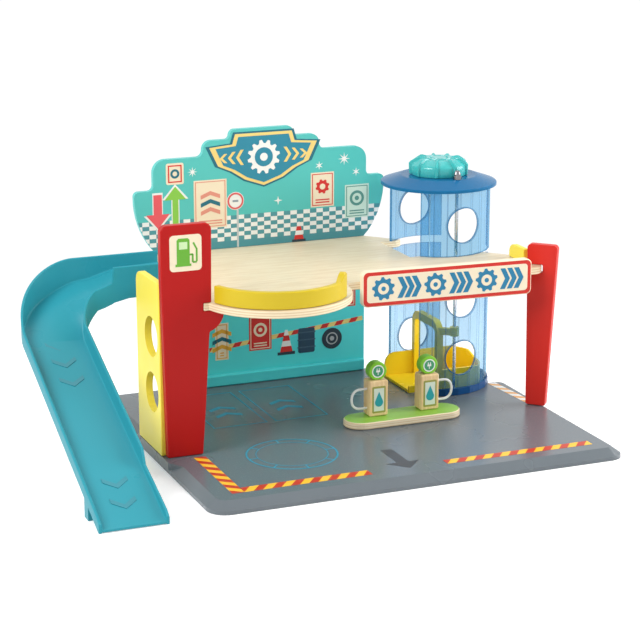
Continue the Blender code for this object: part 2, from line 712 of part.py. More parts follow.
def lift_carriage(paint):
    """Tray with an arch over it and a sleeve round the guide rod."""
    radius = TRAY_RADIUS
    origin = (TOWER_X, TOWER_Y, SEAT)

    def tray_outline(inset, left):
        r = radius - inset
        front, back = TRAY_FRONT + inset, TRAY_BACK - inset
        a0 = math.degrees(math.asin((front - TOWER_Y) / r))
        a1 = math.degrees(math.asin((back - TOWER_Y) / r))
        return [(left, front), *arc(TOWER_X, TOWER_Y, r, a0, a1), (left, back)]

    item = board_piece("lift_carriage", tray_outline(0.0, TRAY_LEFT), SEAT, TRAY_TOP, paint, origin)
    pocket = tray_outline(TRAY_WALL, TRAY_LEFT - 10)
    cut(item, board_piece("lift_carriage_pocket", pocket, TRAY_FLOOR, TRAY_TOP + 20, None))
    above = TRAY_TOP + 5
    slope = [(TRAY_FRONT - 5, TRAY_FRONT_TOP), (TOWER_Y, TRAY_FRONT_TOP), (TRAY_BACK - 8, above)]
    slope += [(TRAY_FRONT - 5, above)]
    cut(item, side_piece("lift_carriage_slope", slope, TRAY_LEFT - 5, TOWER_X + 60, None))
    lip_end = TOWER_X - cord_reach()
    lip = [(TRAY_LEFT - 5, TRAY_LIP_TOP), (lip_end, TRAY_LIP_TOP), (lip_end, above), (TRAY_LEFT - 5, above)]
    cut(item, wall_piece("lift_carriage_lip", lip, TRAY_FRONT - 5, TOWER_Y, None))
    corner = [(TRAY_LEFT - 5, TRAY_TOP - 11), *arc(TRAY_LEFT + 11, TRAY_TOP - 11, 11, 180, 90)]
    corner += [(TRAY_LEFT + 11, above), (TRAY_LEFT - 5, above)]
    cut(item, wall_piece("lift_carriage_corner", corner, TOWER_Y, TRAY_BACK + 5, None))
    front, back = TRAY_FRONT + 0.2, TRAY_BACK - 0.2
    post, under = ARCH_POST, ARCH_TOP - ARCH_BAR
    corners = [(front, 12.0, 0), (front + post, 12.0, 0), (front + post, under, 5)]
    corners += [(back - post, under, 5), (back - post, 12.0, 0), (back, 12.0, 0)]
    corners += [(back, ARCH_TOP, 12), (front, ARCH_TOP, 12)]
    arch_left = TOWER_X - cord_reach() - ARCH_WIDTH / 2
    arch_right = arch_left + ARCH_WIDTH
    join(item, side_piece("lift_carriage_arch", rounded(corners), arch_left, arch_right, None))
    sleeve = [(0, SLEEVE_LOW), (SLEEVE_RADIUS, SLEEVE_LOW), (SLEEVE_RADIUS, SLEEVE_HIGH), (0, SLEEVE_HIGH)]
    join(item, turned("lift_carriage_sleeve", sleeve, 28, ROD_X, ROD_Y, SLEEVE_LOW, None))
    web = [(arch_left + 1.0, front + 1.5), (ROD_X - 1.0, ROD_Y - 3.0), (ROD_X + 1.0, ROD_Y + 1.0)]
    web += [(arch_right - 1.0, front + 4.5), (arch_left + 1.0, front + 4.5)]
    join(item, board_piece("lift_carriage_web", web, SLEEVE_LOW + 0.5, SLEEVE_HIGH - 1.5, None))
    drill(item, ROD_X, ROD_Y, SLEEVE_LOW - 5, SLEEVE_HIGH + 5, ROD_RADIUS + 0.4)
    return item


def ramp_floor(y):
    """Height of the chute's floor on its straight lower run."""
    return RAMP_FOOT_FLOOR + RAMP_SLOPE * y


def ramp_stations():
    """Outer and inner wall points, floor, both rims and both skirts down the chute."""
    turn_y = RAMP_FAR - RAMP_OUTER_RADIUS
    outer_x = RAMP_LEFT + RAMP_OUTER_RADIUS
    inner_x = RAMP_RIGHT + RAMP_INNER_RADIUS
    inner_y = RAMP_NEAR - RAMP_INNER_RADIUS
    deck_end = DECK_LEFT - GAP
    stations = []
    straight = ((deck_end, DECK_TOP, RAMP_RIM, 132.5), (5.0, 147.5, RAMP_RIM, 131.0))
    straight += ((-9.0, 144.0, RAMP_RIM, 128.0), (-10.5, 143.5, 147.0, 127.0), (-18.0, 141.0, 144.3, 124.0))
    for x, floor, inner_rim, inner_skirt in straight:
        stations.append(((x, RAMP_FAR), (x, RAMP_NEAR), floor, RAMP_RIM, inner_rim, 138.0, inner_skirt))
    steps = 18
    low_floor = ramp_floor(turn_y)
    low_rim = 10.2 + 0.43 * turn_y
    low_inner_rim = 16.5 + 0.43 * inner_y
    low_inner_skirt = ramp_floor(inner_y) - 3.0
    for i in range(steps + 1):
        s = i / steps
        a = math.radians(90 + 90 * s)
        outer = (outer_x + RAMP_OUTER_RADIUS * math.cos(a), turn_y + RAMP_OUTER_RADIUS * math.sin(a))
        inner = (inner_x + RAMP_INNER_RADIUS * math.cos(a), inner_y + RAMP_INNER_RADIUS * math.sin(a))
        floor = RAMP_TURN_FLOOR - (RAMP_TURN_FLOOR - low_floor) * s ** 1.1
        rim = RAMP_RIM - (RAMP_RIM - low_rim) * s ** 1.64
        inner_rim = RAMP_INNER_RIM - (RAMP_INNER_RIM - low_inner_rim) * s ** 1.35
        skirt = 138.0 - (141.5 - floor) * min(1.0, s * 1.3)
        inner_skirt = 122.0 - (122.0 - low_inner_skirt) * s
        stations.append((outer, inner, floor, rim, inner_rim, min(skirt, floor - 3.0), inner_skirt))
    for y in (200.0, 150.0, 100.0, 68.0, 62.0, 40.0, 20.0, 6.0, 2.0, 0.0):
        right = RAMP_RIGHT + (RAMP_FOOT_RIGHT - RAMP_RIGHT) * min(1.0, (turn_y - y) / 190)
        floor = ramp_floor(y)
        rim = 10.2 + 0.43 * y
        inner_rim = 16.5 + 0.43 * y if y > 65 else 9.4 + 0.38 * y
        if y < 4:
            rim -= 2.2 - 0.55 * y
            inner_rim -= 2.2 - 0.55 * y
        skirt = max(0.0, floor - 3.2)
        stations.append(((RAMP_LEFT, y), (right, y), floor, rim, inner_rim, skirt, skirt))
    return stations


def ramp_chute(paint):
    """Moulded open chute that hooks on the deck's left edge and stands on the ground."""
    rings = []
    for outer, inner, floor, rim, inner_rim, skirt, inner_skirt in ramp_stations():
        dx, dy = inner[0] - outer[0], inner[1] - outer[1]
        length = math.hypot(dx, dy)
        dx, dy = dx / length, dy / length
        under = floor - RAMP_FLOOR
        wall = RAMP_WALL
        section = [(0, skirt), (0, rim - 0.7), (0.7, rim), (wall - 0.7, rim), (wall, rim - 0.7), (wall, floor)]
        section += [(length - wall, floor), (length - wall, inner_rim - 0.7), (length - wall + 0.7, inner_rim)]
        section += [(length - 0.7, inner_rim), (length, inner_rim - 0.7), (length, inner_skirt)]
        section += [(length - wall, inner_skirt), (length - wall, under), (wall, under), (wall, skirt)]
        rings.append([(outer[0] + dx * t, outer[1] + dy * t, z) for t, z in section])
    item = finish("ramp_chute", loft(rings), (0.0, 0.0, 0.0), paint)
    leg = [(32.0, 0.0), (43.0, 0.0), (43.0, ramp_floor(43) - 1.0), (32.0, ramp_floor(32) - 1.0)]
    join(item, side_piece("ramp_leg", leg, RAMP_LEFT + 0.2, RAMP_LEFT + 5.0, None))
    low, high = 139.0, DECK_BOTTOM - GAP
    inner_x = DECK_LEFT - GAP - 0.2
    hook = [(44.0, DECK_TOP - 1.0), (44.0, low), (62.0, low), (62.0, high)]
    hook += [(inner_x, high), (inner_x, DECK_TOP - 1.0)]
    join(item, wall_piece("ramp_hook", hook, 252.0, 290.0, None))
    for y in (260.0, 282.0):
        peg = [(0, high - 1.5), (PEG_RADIUS, high - 1.5), (PEG_RADIUS, high + 4.0), (PEG_RADIUS - 1, high + 4.8)]
        peg.append((0, high + 4.8))
        join(item, turned("ramp_peg", peg, 20, 56.0, y, high - 1.5, None))
    return item


def pump_island(paint):
    half = (ISLAND_BACK - ISLAND_FRONT) / 2
    middle = (ISLAND_BACK + ISLAND_FRONT) / 2
    outline = arc(ISLAND_RIGHT - half, middle, half, -90, 90)
    outline += arc(ISLAND_LEFT + half, middle, half, 90, 270)
    item = board_piece("pump_island", outline, SEAT, ISLAND_TOP, paint)
    round_edges(item, 1.0, 60.0)
    return item


def pump_body(name, left, paint):
    back = PUMP_FRONT + PUMP_DEPTH
    low = ISLAND_TOP + GAP
    outline = [(left, low), (left + PUMP_WIDTH, low), (left + PUMP_WIDTH, PUMP_TOP), (left, PUMP_TOP)]
    item = wall_piece(name, outline, PUMP_FRONT, back, paint)
    round_edges(item, 1.0)
    return item


def pump_head(name, left, paint):
    """Short cylinder lying on the pump, flattened where it is seated."""
    low = PUMP_TOP + GAP
    middle = left + PUMP_WIDTH / 2
    centre = low + HEAD_RADIUS - 0.8
    flat = math.degrees(math.asin((low - centre) / HEAD_RADIUS))
    outline = arc(middle, centre, HEAD_RADIUS, flat, 180 - flat)
    front = PUMP_FRONT + (PUMP_DEPTH - HEAD_LENGTH) / 2
    item = wall_piece(name, outline, front, front + HEAD_LENGTH, paint)
    round_edges(item, 0.8)
    return item


def pump_hose(name, left, side, paint):
    """Loop of moulded hose on one side of a pump."""
    root = left - GAP if side < 0 else left + PUMP_WIDTH + GAP
    path = []
    steps = 18
    for i in range(steps + 1):
        a = math.pi * i / steps
        out = HOSE_BULGE * math.sin(a) ** 0.6 - HOSE_RADIUS * math.sin(a)
        path.append((root + side * out, PUMP_FRONT + 6.0, 34.2 + 9.4 * math.cos(a) * (1 + 0.18 * math.sin(a))))
    return tube(name, path, HOSE_RADIUS, 10, paint)


def wall_pin(name, x, lower, middle, upper, paint):
    """Steel pin that lines the two back walls up through the deck."""
    y = BACK_WALL_FRONT + BACK_WALL_THICKNESS / 2
    low, high = DECK_BOTTOM - 12.0, DECK_TOP + 12.0
    for item in (lower, middle, upper):
        drill(item, x, y, low - GAP, high + GAP, PIN_RADIUS + GAP, 16)
    profile = [(0, low), (PIN_RADIUS, low), (PIN_RADIUS, high), (0, high)]
    return turned(name, profile, 16, x, y, low, paint)


def sign_pin(name, along, sign, floor, paint):
    """Level pin from the sign's back into the deck's front edge."""
    turn = math.radians(SIGN_TURN)
    z = (DECK_TOP + DECK_BOTTOM) / 2
    length = 15.0
    start = SIGN_THICKNESS - 4.0
    rings = []
    for extra in (0.0, GAP):
        ends = []
        for y in (start - extra, start + length + extra):
            ring = []
            for i in range(16):
                a = 2 * math.pi * i / 16
                r = PIN_RADIUS + extra
                ring.append((r * math.cos(a), y - start, r * math.sin(a)))
            ends.append(ring)
        rings.append(ends)
    x = SIGN_LEFT + along * math.cos(turn) - start * math.sin(turn)
    y = SIGN_FRONT + along * math.sin(turn) + start * math.cos(turn)
    for item in (sign, floor):
        cut(item, finish(item.name + "_pin_bore", loft(rings[1]), (x, y, z), None, SIGN_TURN))
    return finish(name, loft(rings[0]), (x, y, z), paint, SIGN_TURN)


def build():
    clear_scene()
    grey = material("board grey", (0.21, 0.22, 0.25), 0.45)
    red = material("pillar red", (0.62, 0.016, 0.012), 0.35)
    yellow = material("wall yellow", (0.93, 0.62, 0.02), 0.4)
    guard_yellow = material("guard yellow", (0.86, 0.53, 0.03), 0.4)
    aqua = material("mural aqua", (0.10, 0.46, 0.50), 0.5)
    dark_aqua = material("skirting aqua", (0.03, 0.19, 0.23), 0.5)
    ply = material("deck ply", (0.80, 0.66, 0.42), 0.5)
    cream = material("sign cream", (0.85, 0.74, 0.52), 0.45)
    clear_blue = material("tower clear blue", (0.10, 0.40, 0.80), 0.1, 0.0, 0.35)
    deep_blue = material("ring blue", (0.02, 0.12, 0.38), 0.25)
    roof_blue = material("roof blue", (0.03, 0.20, 0.45), 0.3)
    knob_aqua = material("knob aqua", (0.06, 0.42, 0.48), 0.3)
    steel = material("steel", (0.6, 0.6, 0.62), 0.25, 1.0)
    tray_yellow = material("tray yellow", (0.94, 0.66, 0.03), 0.35)
    cord_white = material("cord white", (0.8, 0.8, 0.78), 0.8)
    chute_aqua = material("chute aqua", (0.06, 0.34, 0.40), 0.35)
    island_green = material("island green", (0.05, 0.22, 0.04), 0.5)
    wood = material("pump wood", (0.62, 0.40, 0.18), 0.55)
    head_green = material("head green", (0.06, 0.30, 0.06), 0.4)
    hose_white = material("hose white", (0.75, 0.75, 0.72), 0.4)
    drum_white = material("drum white", (0.8, 0.8, 0.8), 0.4)

    board = base_board(grey)
    pillar = left_pillar(red)
    side = left_side_wall(yellow)
    lower = lower_back_wall(aqua)
    wall_skirting(dark_aqua)
    upper = upper_back_wall(aqua)
    floor = deck(ply)
    balcony_guard(guard_yellow)
    sign = sign_board(cream)
    right = right_pillar(red)
    right_rail(yellow)
    tower_base_ring(deep_blue)
    shell_low = SEAT + RING_FLOOR + GAP
    for side_name, sector in (("front", SHELL_FRONT), ("back", SHELL_BACK)):
        low_name, high_name = "tower_lower_" + side_name, "tower_upper_" + side_name
        tower_shell(low_name, sector, shell_low, DECK_BOTTOM - GAP, WINDOW_HEIGHTS[:2], clear_blue)
        tower_shell(high_name, sector, DECK_TOP + GAP, TOWER_TOP, WINDOW_HEIGHTS[2:], clear_blue)
    tower_roof(roof_blue)
    lift_knob(knob_aqua)
    knob_drum(drum_white)
    axle_clip(steel)
    lift_cord(cord_white)
    guide_rod(steel)
    rod_nut(steel)
    lift_carriage(tray_yellow)
    ramp_chute(chute_aqua)
    pump_island(island_green)
    for index, left in enumerate(PUMP_LEFTS):
        number = str(index + 1)
        pump_body("pump_body_" + number, left, wood)
        pump_head("pump_head_" + number, left, head_green)
        pump_hose("pump_hose_" + number, left, -1 if index == 0 else 1, hose_white)
    drill(board, ROD_X, ROD_Y, 4.0 - GAP, 20.0, ROD_RADIUS + GAP, 16)
    for y in (260.0, 282.0):
        low = DECK_BOTTOM - 3.0
        drill(floor, 56.0, y, low, DECK_BOTTOM + 4.8, PEG_RADIUS + GAP)
    wall_pin("wall_pin_left", 95.0, lower, floor, upper, steel)
    wall_pin("wall_pin_right", 243.0, lower, floor, upper, steel)
    sign_pin("sign_pin_left", 24.0, sign, floor, steel)
    sign_pin("sign_pin_right", SIGN_LENGTH - 24.0, sign, floor, steel)
    back_y = BACK_WALL_FRONT + BACK_WALL_THICKNESS / 2
    pillar_y = LEFT_PILLAR_FRONT + PILLAR_THICKNESS / 2
    screw("screw_left_pillar", 20.0, pillar_y, board, pillar, steel)
    screw("screw_side_wall", SIDE_WALL_THICKNESS / 2 + 0.6, 195.0, board, side, steel)
    screw("screw_back_left", 95.0, back_y, board, lower, steel)
    screw("screw_back_right", 250.0, back_y, board, lower, steel)
    turn = math.radians(RIGHT_PILLAR_TURN)
    across, deep = 11.0, PILLAR_THICKNESS / 2
    x = RIGHT_PILLAR_X + across * math.cos(turn) - deep * math.sin(turn)
    y = RIGHT_PILLAR_Y + across * math.sin(turn) + deep * math.cos(turn)
    screw("screw_right_pillar", x, y, board, right, steel)


build()
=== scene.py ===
"""Looks of the wooden toy garage: finishes, prints, light, floor and camera.

Print positions are millimetres from the front left corner of the base board,
X to the right, Y to the back, Z up from the underside of the board.
"""
import math

import bmesh
import bpy
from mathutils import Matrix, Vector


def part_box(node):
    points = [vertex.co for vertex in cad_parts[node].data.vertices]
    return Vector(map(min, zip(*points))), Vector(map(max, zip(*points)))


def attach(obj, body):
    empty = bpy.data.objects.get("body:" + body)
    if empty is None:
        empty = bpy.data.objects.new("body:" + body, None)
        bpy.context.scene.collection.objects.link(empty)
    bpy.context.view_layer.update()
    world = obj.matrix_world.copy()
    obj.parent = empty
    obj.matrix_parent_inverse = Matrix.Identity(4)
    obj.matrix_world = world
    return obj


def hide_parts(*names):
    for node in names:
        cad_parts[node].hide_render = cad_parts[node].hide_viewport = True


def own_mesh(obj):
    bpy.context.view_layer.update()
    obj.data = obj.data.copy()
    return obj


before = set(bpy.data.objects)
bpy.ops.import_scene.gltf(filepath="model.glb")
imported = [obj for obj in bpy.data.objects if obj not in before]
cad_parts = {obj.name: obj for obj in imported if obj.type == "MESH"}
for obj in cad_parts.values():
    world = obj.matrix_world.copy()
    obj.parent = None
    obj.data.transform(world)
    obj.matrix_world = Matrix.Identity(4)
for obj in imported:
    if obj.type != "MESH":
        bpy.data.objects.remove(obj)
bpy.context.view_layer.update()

MM = 0.001
BOARD_WIDTH = 398.0
BOARD_DEPTH = 342.0
BOARD_TOP = 10.0
DECK_TOP = 150.0
WALL_FRONT = 326.5
TOWER_X = 328.5
TOWER_Y = 257.1
SIGN_LEFT = 197.5
SIGN_FRONT = 142.0
SIGN_LENGTH = 169.5
SIGN_LOW = 127.0
SIGN_HIGH = 161.0
SIGN_TURN = -3.5
SIGN_PITCH = 25.8
PRINT_LIFT = 0.14
PRINT_SINK = 0.05
CHECK_WIDTH = 7.0
CHECK_HEIGHT = 4.2
CHECK_LOW = 157.5
CHECK_ROWS = 6
WINDOW_TURN = -85.0
WINDOW_HEIGHTS = (47.5, 106.0, 180.5)
WINDOW_RADIUS = 17.0
FOLD_STEP = 15.0
SHELL_INSIDE = 48.6
SHELL_OUTSIDE = 50.4
FILM = 0.27
FILM_INSIDE = 0.08
PILLAR_FACE = 130.2
PUMP_FACE = 152.3
HEAD_FACE = 154.8
PUMP_LEFTS = (209.9, 263.0)
PUMP_MIDDLE = 9.4
CHUTE_FOOT = 2.6
CHUTE_SLOPE = 0.418
RIM_FOOT = 10.2
INNER_RIM_FOOT = 16.5
RIM_SLOPE = 0.43
SOFT_SKY = 0.5
SEEN_SKY = 1.0
FLOOR_GLOW = 0.3
FAR_FLOOR_GLOW = 1.03

CAMERA_PLACE = (-0.7144, -1.66047, 0.59446)
CAMERA_PITCH = 15.0487
CAMERA_YAW = 22.3417
CAMERA_LENS = 112.5
CAMERA_SENSOR = 36.0

WHITE = (0.86, 0.87, 0.84)
CREAM = (0.87, 0.76, 0.56)
RED = (0.66, 0.035, 0.03)
HAZARD_RED = (0.52, 0.04, 0.015)
HAZARD_YELLOW = (0.92, 0.52, 0.03)
SIGN_RED = (0.62, 0.03, 0.02)
CHEVRON_PETROL = (0.03, 0.24, 0.30)
BADGE_BLUE = (0.03, 0.25, 0.36)
PETROL = (0.02, 0.16, 0.22)
SIGN_BLUE = (0.02, 0.20, 0.36)
PALE_YELLOW = (0.88, 0.66, 0.22)
INK = (0.03, 0.05, 0.07)
HUB_GREY = (0.45, 0.48, 0.5)
ICON_GREEN = (0.14, 0.42, 0.04)
PALE_GREEN = (0.60, 0.80, 0.45)
BAY_CYAN = (0.03, 0.28, 0.42)
ARROW_GREY = (0.055, 0.06, 0.07)
CHUTE_AQUA = (0.028, 0.29, 0.36)
KNOB_AQUA = (0.045, 0.46, 0.45)


def row(x, y, z):
    """Row frame position of a board measurement."""
    return (x - BOARD_WIDTH / 2) * MM, (y - BOARD_DEPTH / 2) * MM, z * MM


class Nodes:
    """Short names for building a material's node tree."""

    def __init__(self, name):
        self.material = bpy.data.materials.new(name)
        self.material.use_nodes = True
        self.tree = self.material.node_tree
        self.shader = self.tree.nodes["Principled BSDF"]

    def add(self, kind, **values):
        node = self.tree.nodes.new(kind)
        for key, value in values.items():
            setattr(node, key, value)
        return node

    def link(self, source, target):
        self.tree.links.new(source, target)

    def feed(self, target, value):
        if isinstance(value, (int, float, tuple)):
            target.default_value = value
        else:
            self.link(value, target)

    def math(self, operation, first, second=0.0):
        node = self.add("ShaderNodeMath", operation=operation)
        self.feed(node.inputs[0], first)
        self.feed(node.inputs[1], second)
        return node.outputs[0]

    def position(self, scale=(1.0, 1.0, 1.0)):
        coordinates = self.add("ShaderNodeTexCoord")
        mapping = self.add("ShaderNodeMapping")
        mapping.inputs["Scale"].default_value = scale
        self.link(coordinates.outputs["Object"], mapping.inputs["Vector"])
        return mapping.outputs["Vector"]

    def axes(self):
        """Object coordinates in millimetres."""
        split = self.add("ShaderNodeSeparateXYZ")
        self.link(self.position((1000.0, 1000.0, 1000.0)), split.inputs[0])
        return split.outputs[0], split.outputs[1], split.outputs[2]

    def normal_z(self):
        geometry = self.add("ShaderNodeNewGeometry")
        split = self.add("ShaderNodeSeparateXYZ")
        self.link(geometry.outputs["True Normal"], split.inputs[0])
        return split.outputs[2]

    def noise(self, scale, detail=3.0, stretch=(1.0, 1.0, 1.0)):
        node = self.add("ShaderNodeTexNoise")
        node.inputs["Scale"].default_value = scale
        node.inputs["Detail"].default_value = detail
        self.link(self.position(stretch), node.inputs["Vector"])
        return node.outputs[0]

    def ramp(self, value, low, high):
        """Value mapped from low..high to 0..1."""
        node = self.add("ShaderNodeMapRange")
        self.feed(node.inputs["Value"], value)
        node.inputs["From Min"].default_value = low
        node.inputs["From Max"].default_value = high
        return node.outputs[0]

    def mix(self, share, first, second):
        node = self.add("ShaderNodeMix", data_type="RGBA")
        self.feed(node.inputs["Factor"], share)
        self.feed(node.inputs["A"], rgba(first))
        self.feed(node.inputs["B"], rgba(second))
        return node.outputs["Result"]

    def above(self, value, limit):
        return self.math("GREATER_THAN", value, limit)

    def below(self, value, limit):
        return self.math("LESS_THAN", value, limit)

    def both(self, first, second):
        return self.math("MULTIPLY", first, second)

    def blend(self, share, first, second):
        """Two shaders mixed by a share of the second."""
        node = self.add("ShaderNodeMixShader")
        self.link(share, node.inputs[0])
        self.link(first, node.inputs[1])
        self.link(second, node.inputs[2])
        return node.outputs[0]

    def white_glow(self, strength):
        node = self.add("ShaderNodeEmission")
        node.inputs[0].default_value = (1.0, 1.0, 1.0, 1.0)
        node.inputs[1].default_value = strength
        return node.outputs[0]

    def surface(self, shader):
        self.link(shader, self.tree.nodes["Material Output"].inputs["Surface"])

    def bump(self, height, strength, distance):
        node = self.add("ShaderNodeBump")
        node.inputs["Strength"].default_value = strength
        node.inputs["Distance"].default_value = distance
        self.link(height, node.inputs["Height"])
        self.link(node.outputs[0], self.shader.inputs["Normal"])

    def colour(self, value):
        self.feed(self.shader.inputs["Base Color"], rgba(value))

    def rough(self, low, high, scale=60.0):
        """Roughness that drifts a little over the surface."""
        drift = self.add("ShaderNodeMapRange")
        self.link(self.noise(scale), drift.inputs["Value"])
        drift.interpolation_type = "SMOOTHSTEP"
        drift.inputs["From Min"].default_value = 0.2
        drift.inputs["From Max"].default_value = 0.8
        drift.inputs["To Min"].default_value = low
        drift.inputs["To Max"].default_value = high
        self.link(drift.outputs[0], self.shader.inputs["Roughness"])


def rgba(value):
    """Colour with an opaque fourth value. Anything else passes unchanged."""
    if isinstance(value, tuple) and len(value) == 3:
        return (*value, 1.0)
    return value


def shade(colour, factor):
    """Lighter or darker tone of a colour."""
    return tuple(min(1.0, c * factor) for c in colour)


def lacquer(name, colour, low=0.3, high=0.4, drift=0.07, gloss=0.3):
    """Sprayed lacquer on board with a soft drift of tone."""
    n = Nodes(name)
    n.shader.inputs["Specular IOR Level"].default_value = gloss
    tone = n.mix(n.noise(12.0), shade(colour, 1 - drift), shade(colour, 1 + drift))
    n.colour(tone)
    n.rough(low, high, 25.0)
    return n.material


def plastic(name, colour, low=0.22, high=0.3, gloss=0.4):
    """Moulded plastic with faint flow marks."""
    n = Nodes(name)
    n.shader.inputs["Specular IOR Level"].default_value = gloss
    tone = n.mix(n.noise(9.0, 2.0), shade(colour, 0.95), shade(colour, 1.05))
    n.colour(tone)
    n.rough(low, high, 20.0)
    return n.material


def metal(name, colour, low, high):
    """Polished metal with fine streaks of tone."""
    n = Nodes(name)
    n.colour(n.mix(n.noise(200.0), shade(colour, 0.92), colour))
    n.shader.inputs["Metallic"].default_value = 1.0
    n.rough(low, high, 300.0)
    return n.material


def grain(n, scale, stretch):
    """Wood figure: long streaks with fine pores, from 0 to 1."""
    streaks = n.noise(scale, 5.0, stretch)
    pores = n.noise(scale * 6, 2.0, stretch)
    return n.ramp(n.math("ADD", streaks, n.math("MULTIPLY", pores, 0.35)), 0.45, 0.95)


def bare_wood(name, pale, dark, stretch):
    """Natural wood with its figure stretched along one axis."""
    n = Nodes(name)
    figure = grain(n, 60.0, stretch)
    n.colour(n.mix(figure, pale, dark))
    n.rough(0.38, 0.5)
    n.bump(figure, 0.15, 0.0004)
    return n.material


def plies(n, thickness):
    """Stripes of the plies on a flat piece's edge, from 0 to 1."""
    _, _, z = n.axes()
    wave = n.math("SINE", n.math("MULTIPLY", z, 2 * math.pi / thickness))
    return n.ramp(wave, -0.6, 0.6)


def deck_ply():
    """Clear lacquered birch with darker plies on the edge."""
    n = Nodes("deck ply")
    top = n.mix(grain(n, 26.0, (1.0, 7.0, 1.0)), (0.80, 0.69, 0.49), (0.68, 0.54, 0.34))
    edge = n.mix(plies(n, 2.3), (0.86, 0.74, 0.52), (0.72, 0.54, 0.32))
    lying = n.above(n.math("ABSOLUTE", n.normal_z()), 0.9)
    n.colour(n.mix(lying, edge, top))
    n.rough(0.3, 0.42)
    n.bump(n.noise(300.0, 2.0, (1.0, 6.0, 1.0)), 0.08, 0.0004)
    return n.material


def board_finish():
    """Dark printed top with fine speckles, and a lacquered chamfer and edge of nearly the same tone."""
    n = Nodes("board grey")
    top = n.mix(n.noise(7.0), (0.118, 0.142, 0.162), (0.138, 0.162, 0.182))
    speckled = n.mix(n.ramp(n.noise(700.0, 2.0), 0.58, 0.7), top, (0.17, 0.192, 0.21))
    side = n.mix(n.noise(20.0), (0.112, 0.135, 0.152), (0.132, 0.155, 0.172))
    lying = n.above(n.normal_z(), 0.95)
    n.colour(n.mix(lying, side, speckled))
    n.rough(0.2, 0.3, 12.0)
    return n.material


def island_finish():
    """Green print on the top and bare ply on the rim."""
    n = Nodes("island green")
    top = n.mix(n.noise(25.0), (0.26, 0.55, 0.05), (0.32, 0.62, 0.08))
    edge = n.mix(plies(n, 2.2), (0.86, 0.76, 0.55), (0.74, 0.58, 0.36))
    lying = n.above(n.normal_z(), 0.9)
    n.colour(n.mix(lying, edge, top))
    n.rough(0.35, 0.45)
    n.bump(n.noise(700.0, 2.0), 0.06, 0.0003)
    return n.material


def mural_upper():
    """Turquoise wall with a chequered band over a plain band at the deck."""
    n = Nodes("upper mural")
    x, y, z = n.axes()
    field = n.mix(n.noise(6.0), (0.075, 0.50, 0.47), (0.10, 0.58, 0.54))
    column = n.math("FLOOR", n.math("DIVIDE", x, CHECK_WIDTH))
    line = n.math("FLOOR", n.math("DIVIDE", n.math("SUBTRACT", z, CHECK_LOW), CHECK_HEIGHT))
    odd = n.math("MODULO", n.math("ABSOLUTE", n.math("ADD", column, line)), 2.0)
    checks = n.mix(n.above(odd, 0.5), (0.07, 0.30, 0.34), WHITE)
    in_band = n.both(n.above(z, CHECK_LOW), n.below(z, CHECK_LOW + CHECK_ROWS * CHECK_HEIGHT))
    plain = n.mix(n.below(z, CHECK_LOW), field, (0.06, 0.28, 0.33))
    front = n.below(y, WALL_FRONT - BOARD_DEPTH / 2 + 0.05)
    printed = n.mix(in_band, plain, checks)
    n.colour(n.mix(front, field, printed))
    n.rough(0.35, 0.45)
    n.bump(n.noise(800.0, 2.0), 0.08, 0.0003)
    return n.material


def clear_shell():
    """Clear blue plastic: tinted outside, nearly clear inside, dark on folds, window rims and cut edges."""
    n = Nodes("clear blue")
    x, y, z = n.axes()
    cx = n.math("SUBTRACT", x, TOWER_X - BOARD_WIDTH / 2)
    cy = n.math("SUBTRACT", y, TOWER_Y - BOARD_DEPTH / 2)
    radius = n.math("SQRT", n.math("ADD", n.both(cx, cx), n.both(cy, cy)))
    inside = n.below(radius, SHELL_INSIDE)
    cut_edge = n.both(n.above(radius, SHELL_INSIDE), n.below(radius, SHELL_OUTSIDE))
    angle = n.math("DIVIDE", n.math("ARCTAN2", cy, cx), math.radians(FOLD_STEP))
    off_fold = n.math("ABSOLUTE", n.math("SUBTRACT", n.math("FRACT", n.math("ADD", angle, 24.5)), 0.5))
    fold = n.math("MULTIPLY", n.ramp(off_fold, 0.06, 0.03), 0.55)
    side = math.radians(WINDOW_TURN + 90.0)
    across = n.math("ADD", n.both(cx, math.cos(side)), n.both(cy, math.sin(side)))
    rims = cut_edge
    for height in WINDOW_HEIGHTS:
        up = n.math("SUBTRACT", z, height)
        reach = n.math("SQRT", n.math("ADD", n.both(across, across), n.both(up, up)))
        rims = n.math("MAXIMUM", rims, n.below(reach, WINDOW_RADIUS + 1.0))
    dense = n.math("MAXIMUM", fold, rims)
    n.colour(n.mix(dense, (0.07, 0.30, 0.60), (0.010, 0.15, 0.35)))
    n.shader.inputs["Roughness"].default_value = 0.08
    film = n.math("SUBTRACT", FILM, n.math("MULTIPLY", inside, FILM - FILM_INSIDE))
    cover = n.math("ADD", film, n.math("MULTIPLY", dense, 0.40))
    tint = n.add("ShaderNodeBsdfTransparent")
    outer = n.mix(n.above(z, DECK_TOP), (0.60, 0.80, 0.92), (0.49, 0.76, 0.91))
    n.link(n.mix(inside, outer, (0.95, 0.97, 1.0)), tint.inputs[0])
    n.surface(n.blend(cover, tint.outputs[0], n.shader.outputs[0]))
    return n.material


def cord_finish():
    """Matt white yarn with a slanted weave."""
    n = Nodes("cord white")
    x, y, z = n.axes()
    wave = n.math("SINE", n.math("MULTIPLY", n.math("ADD", z, n.math("MULTIPLY", x, 2.0)), 5.0))
    n.colour(n.mix(n.ramp(wave, -1.0, 1.0), (0.60, 0.60, 0.58), (0.84, 0.84, 0.81)))
    n.shader.inputs["Roughness"].default_value = 0.8
    return n.material


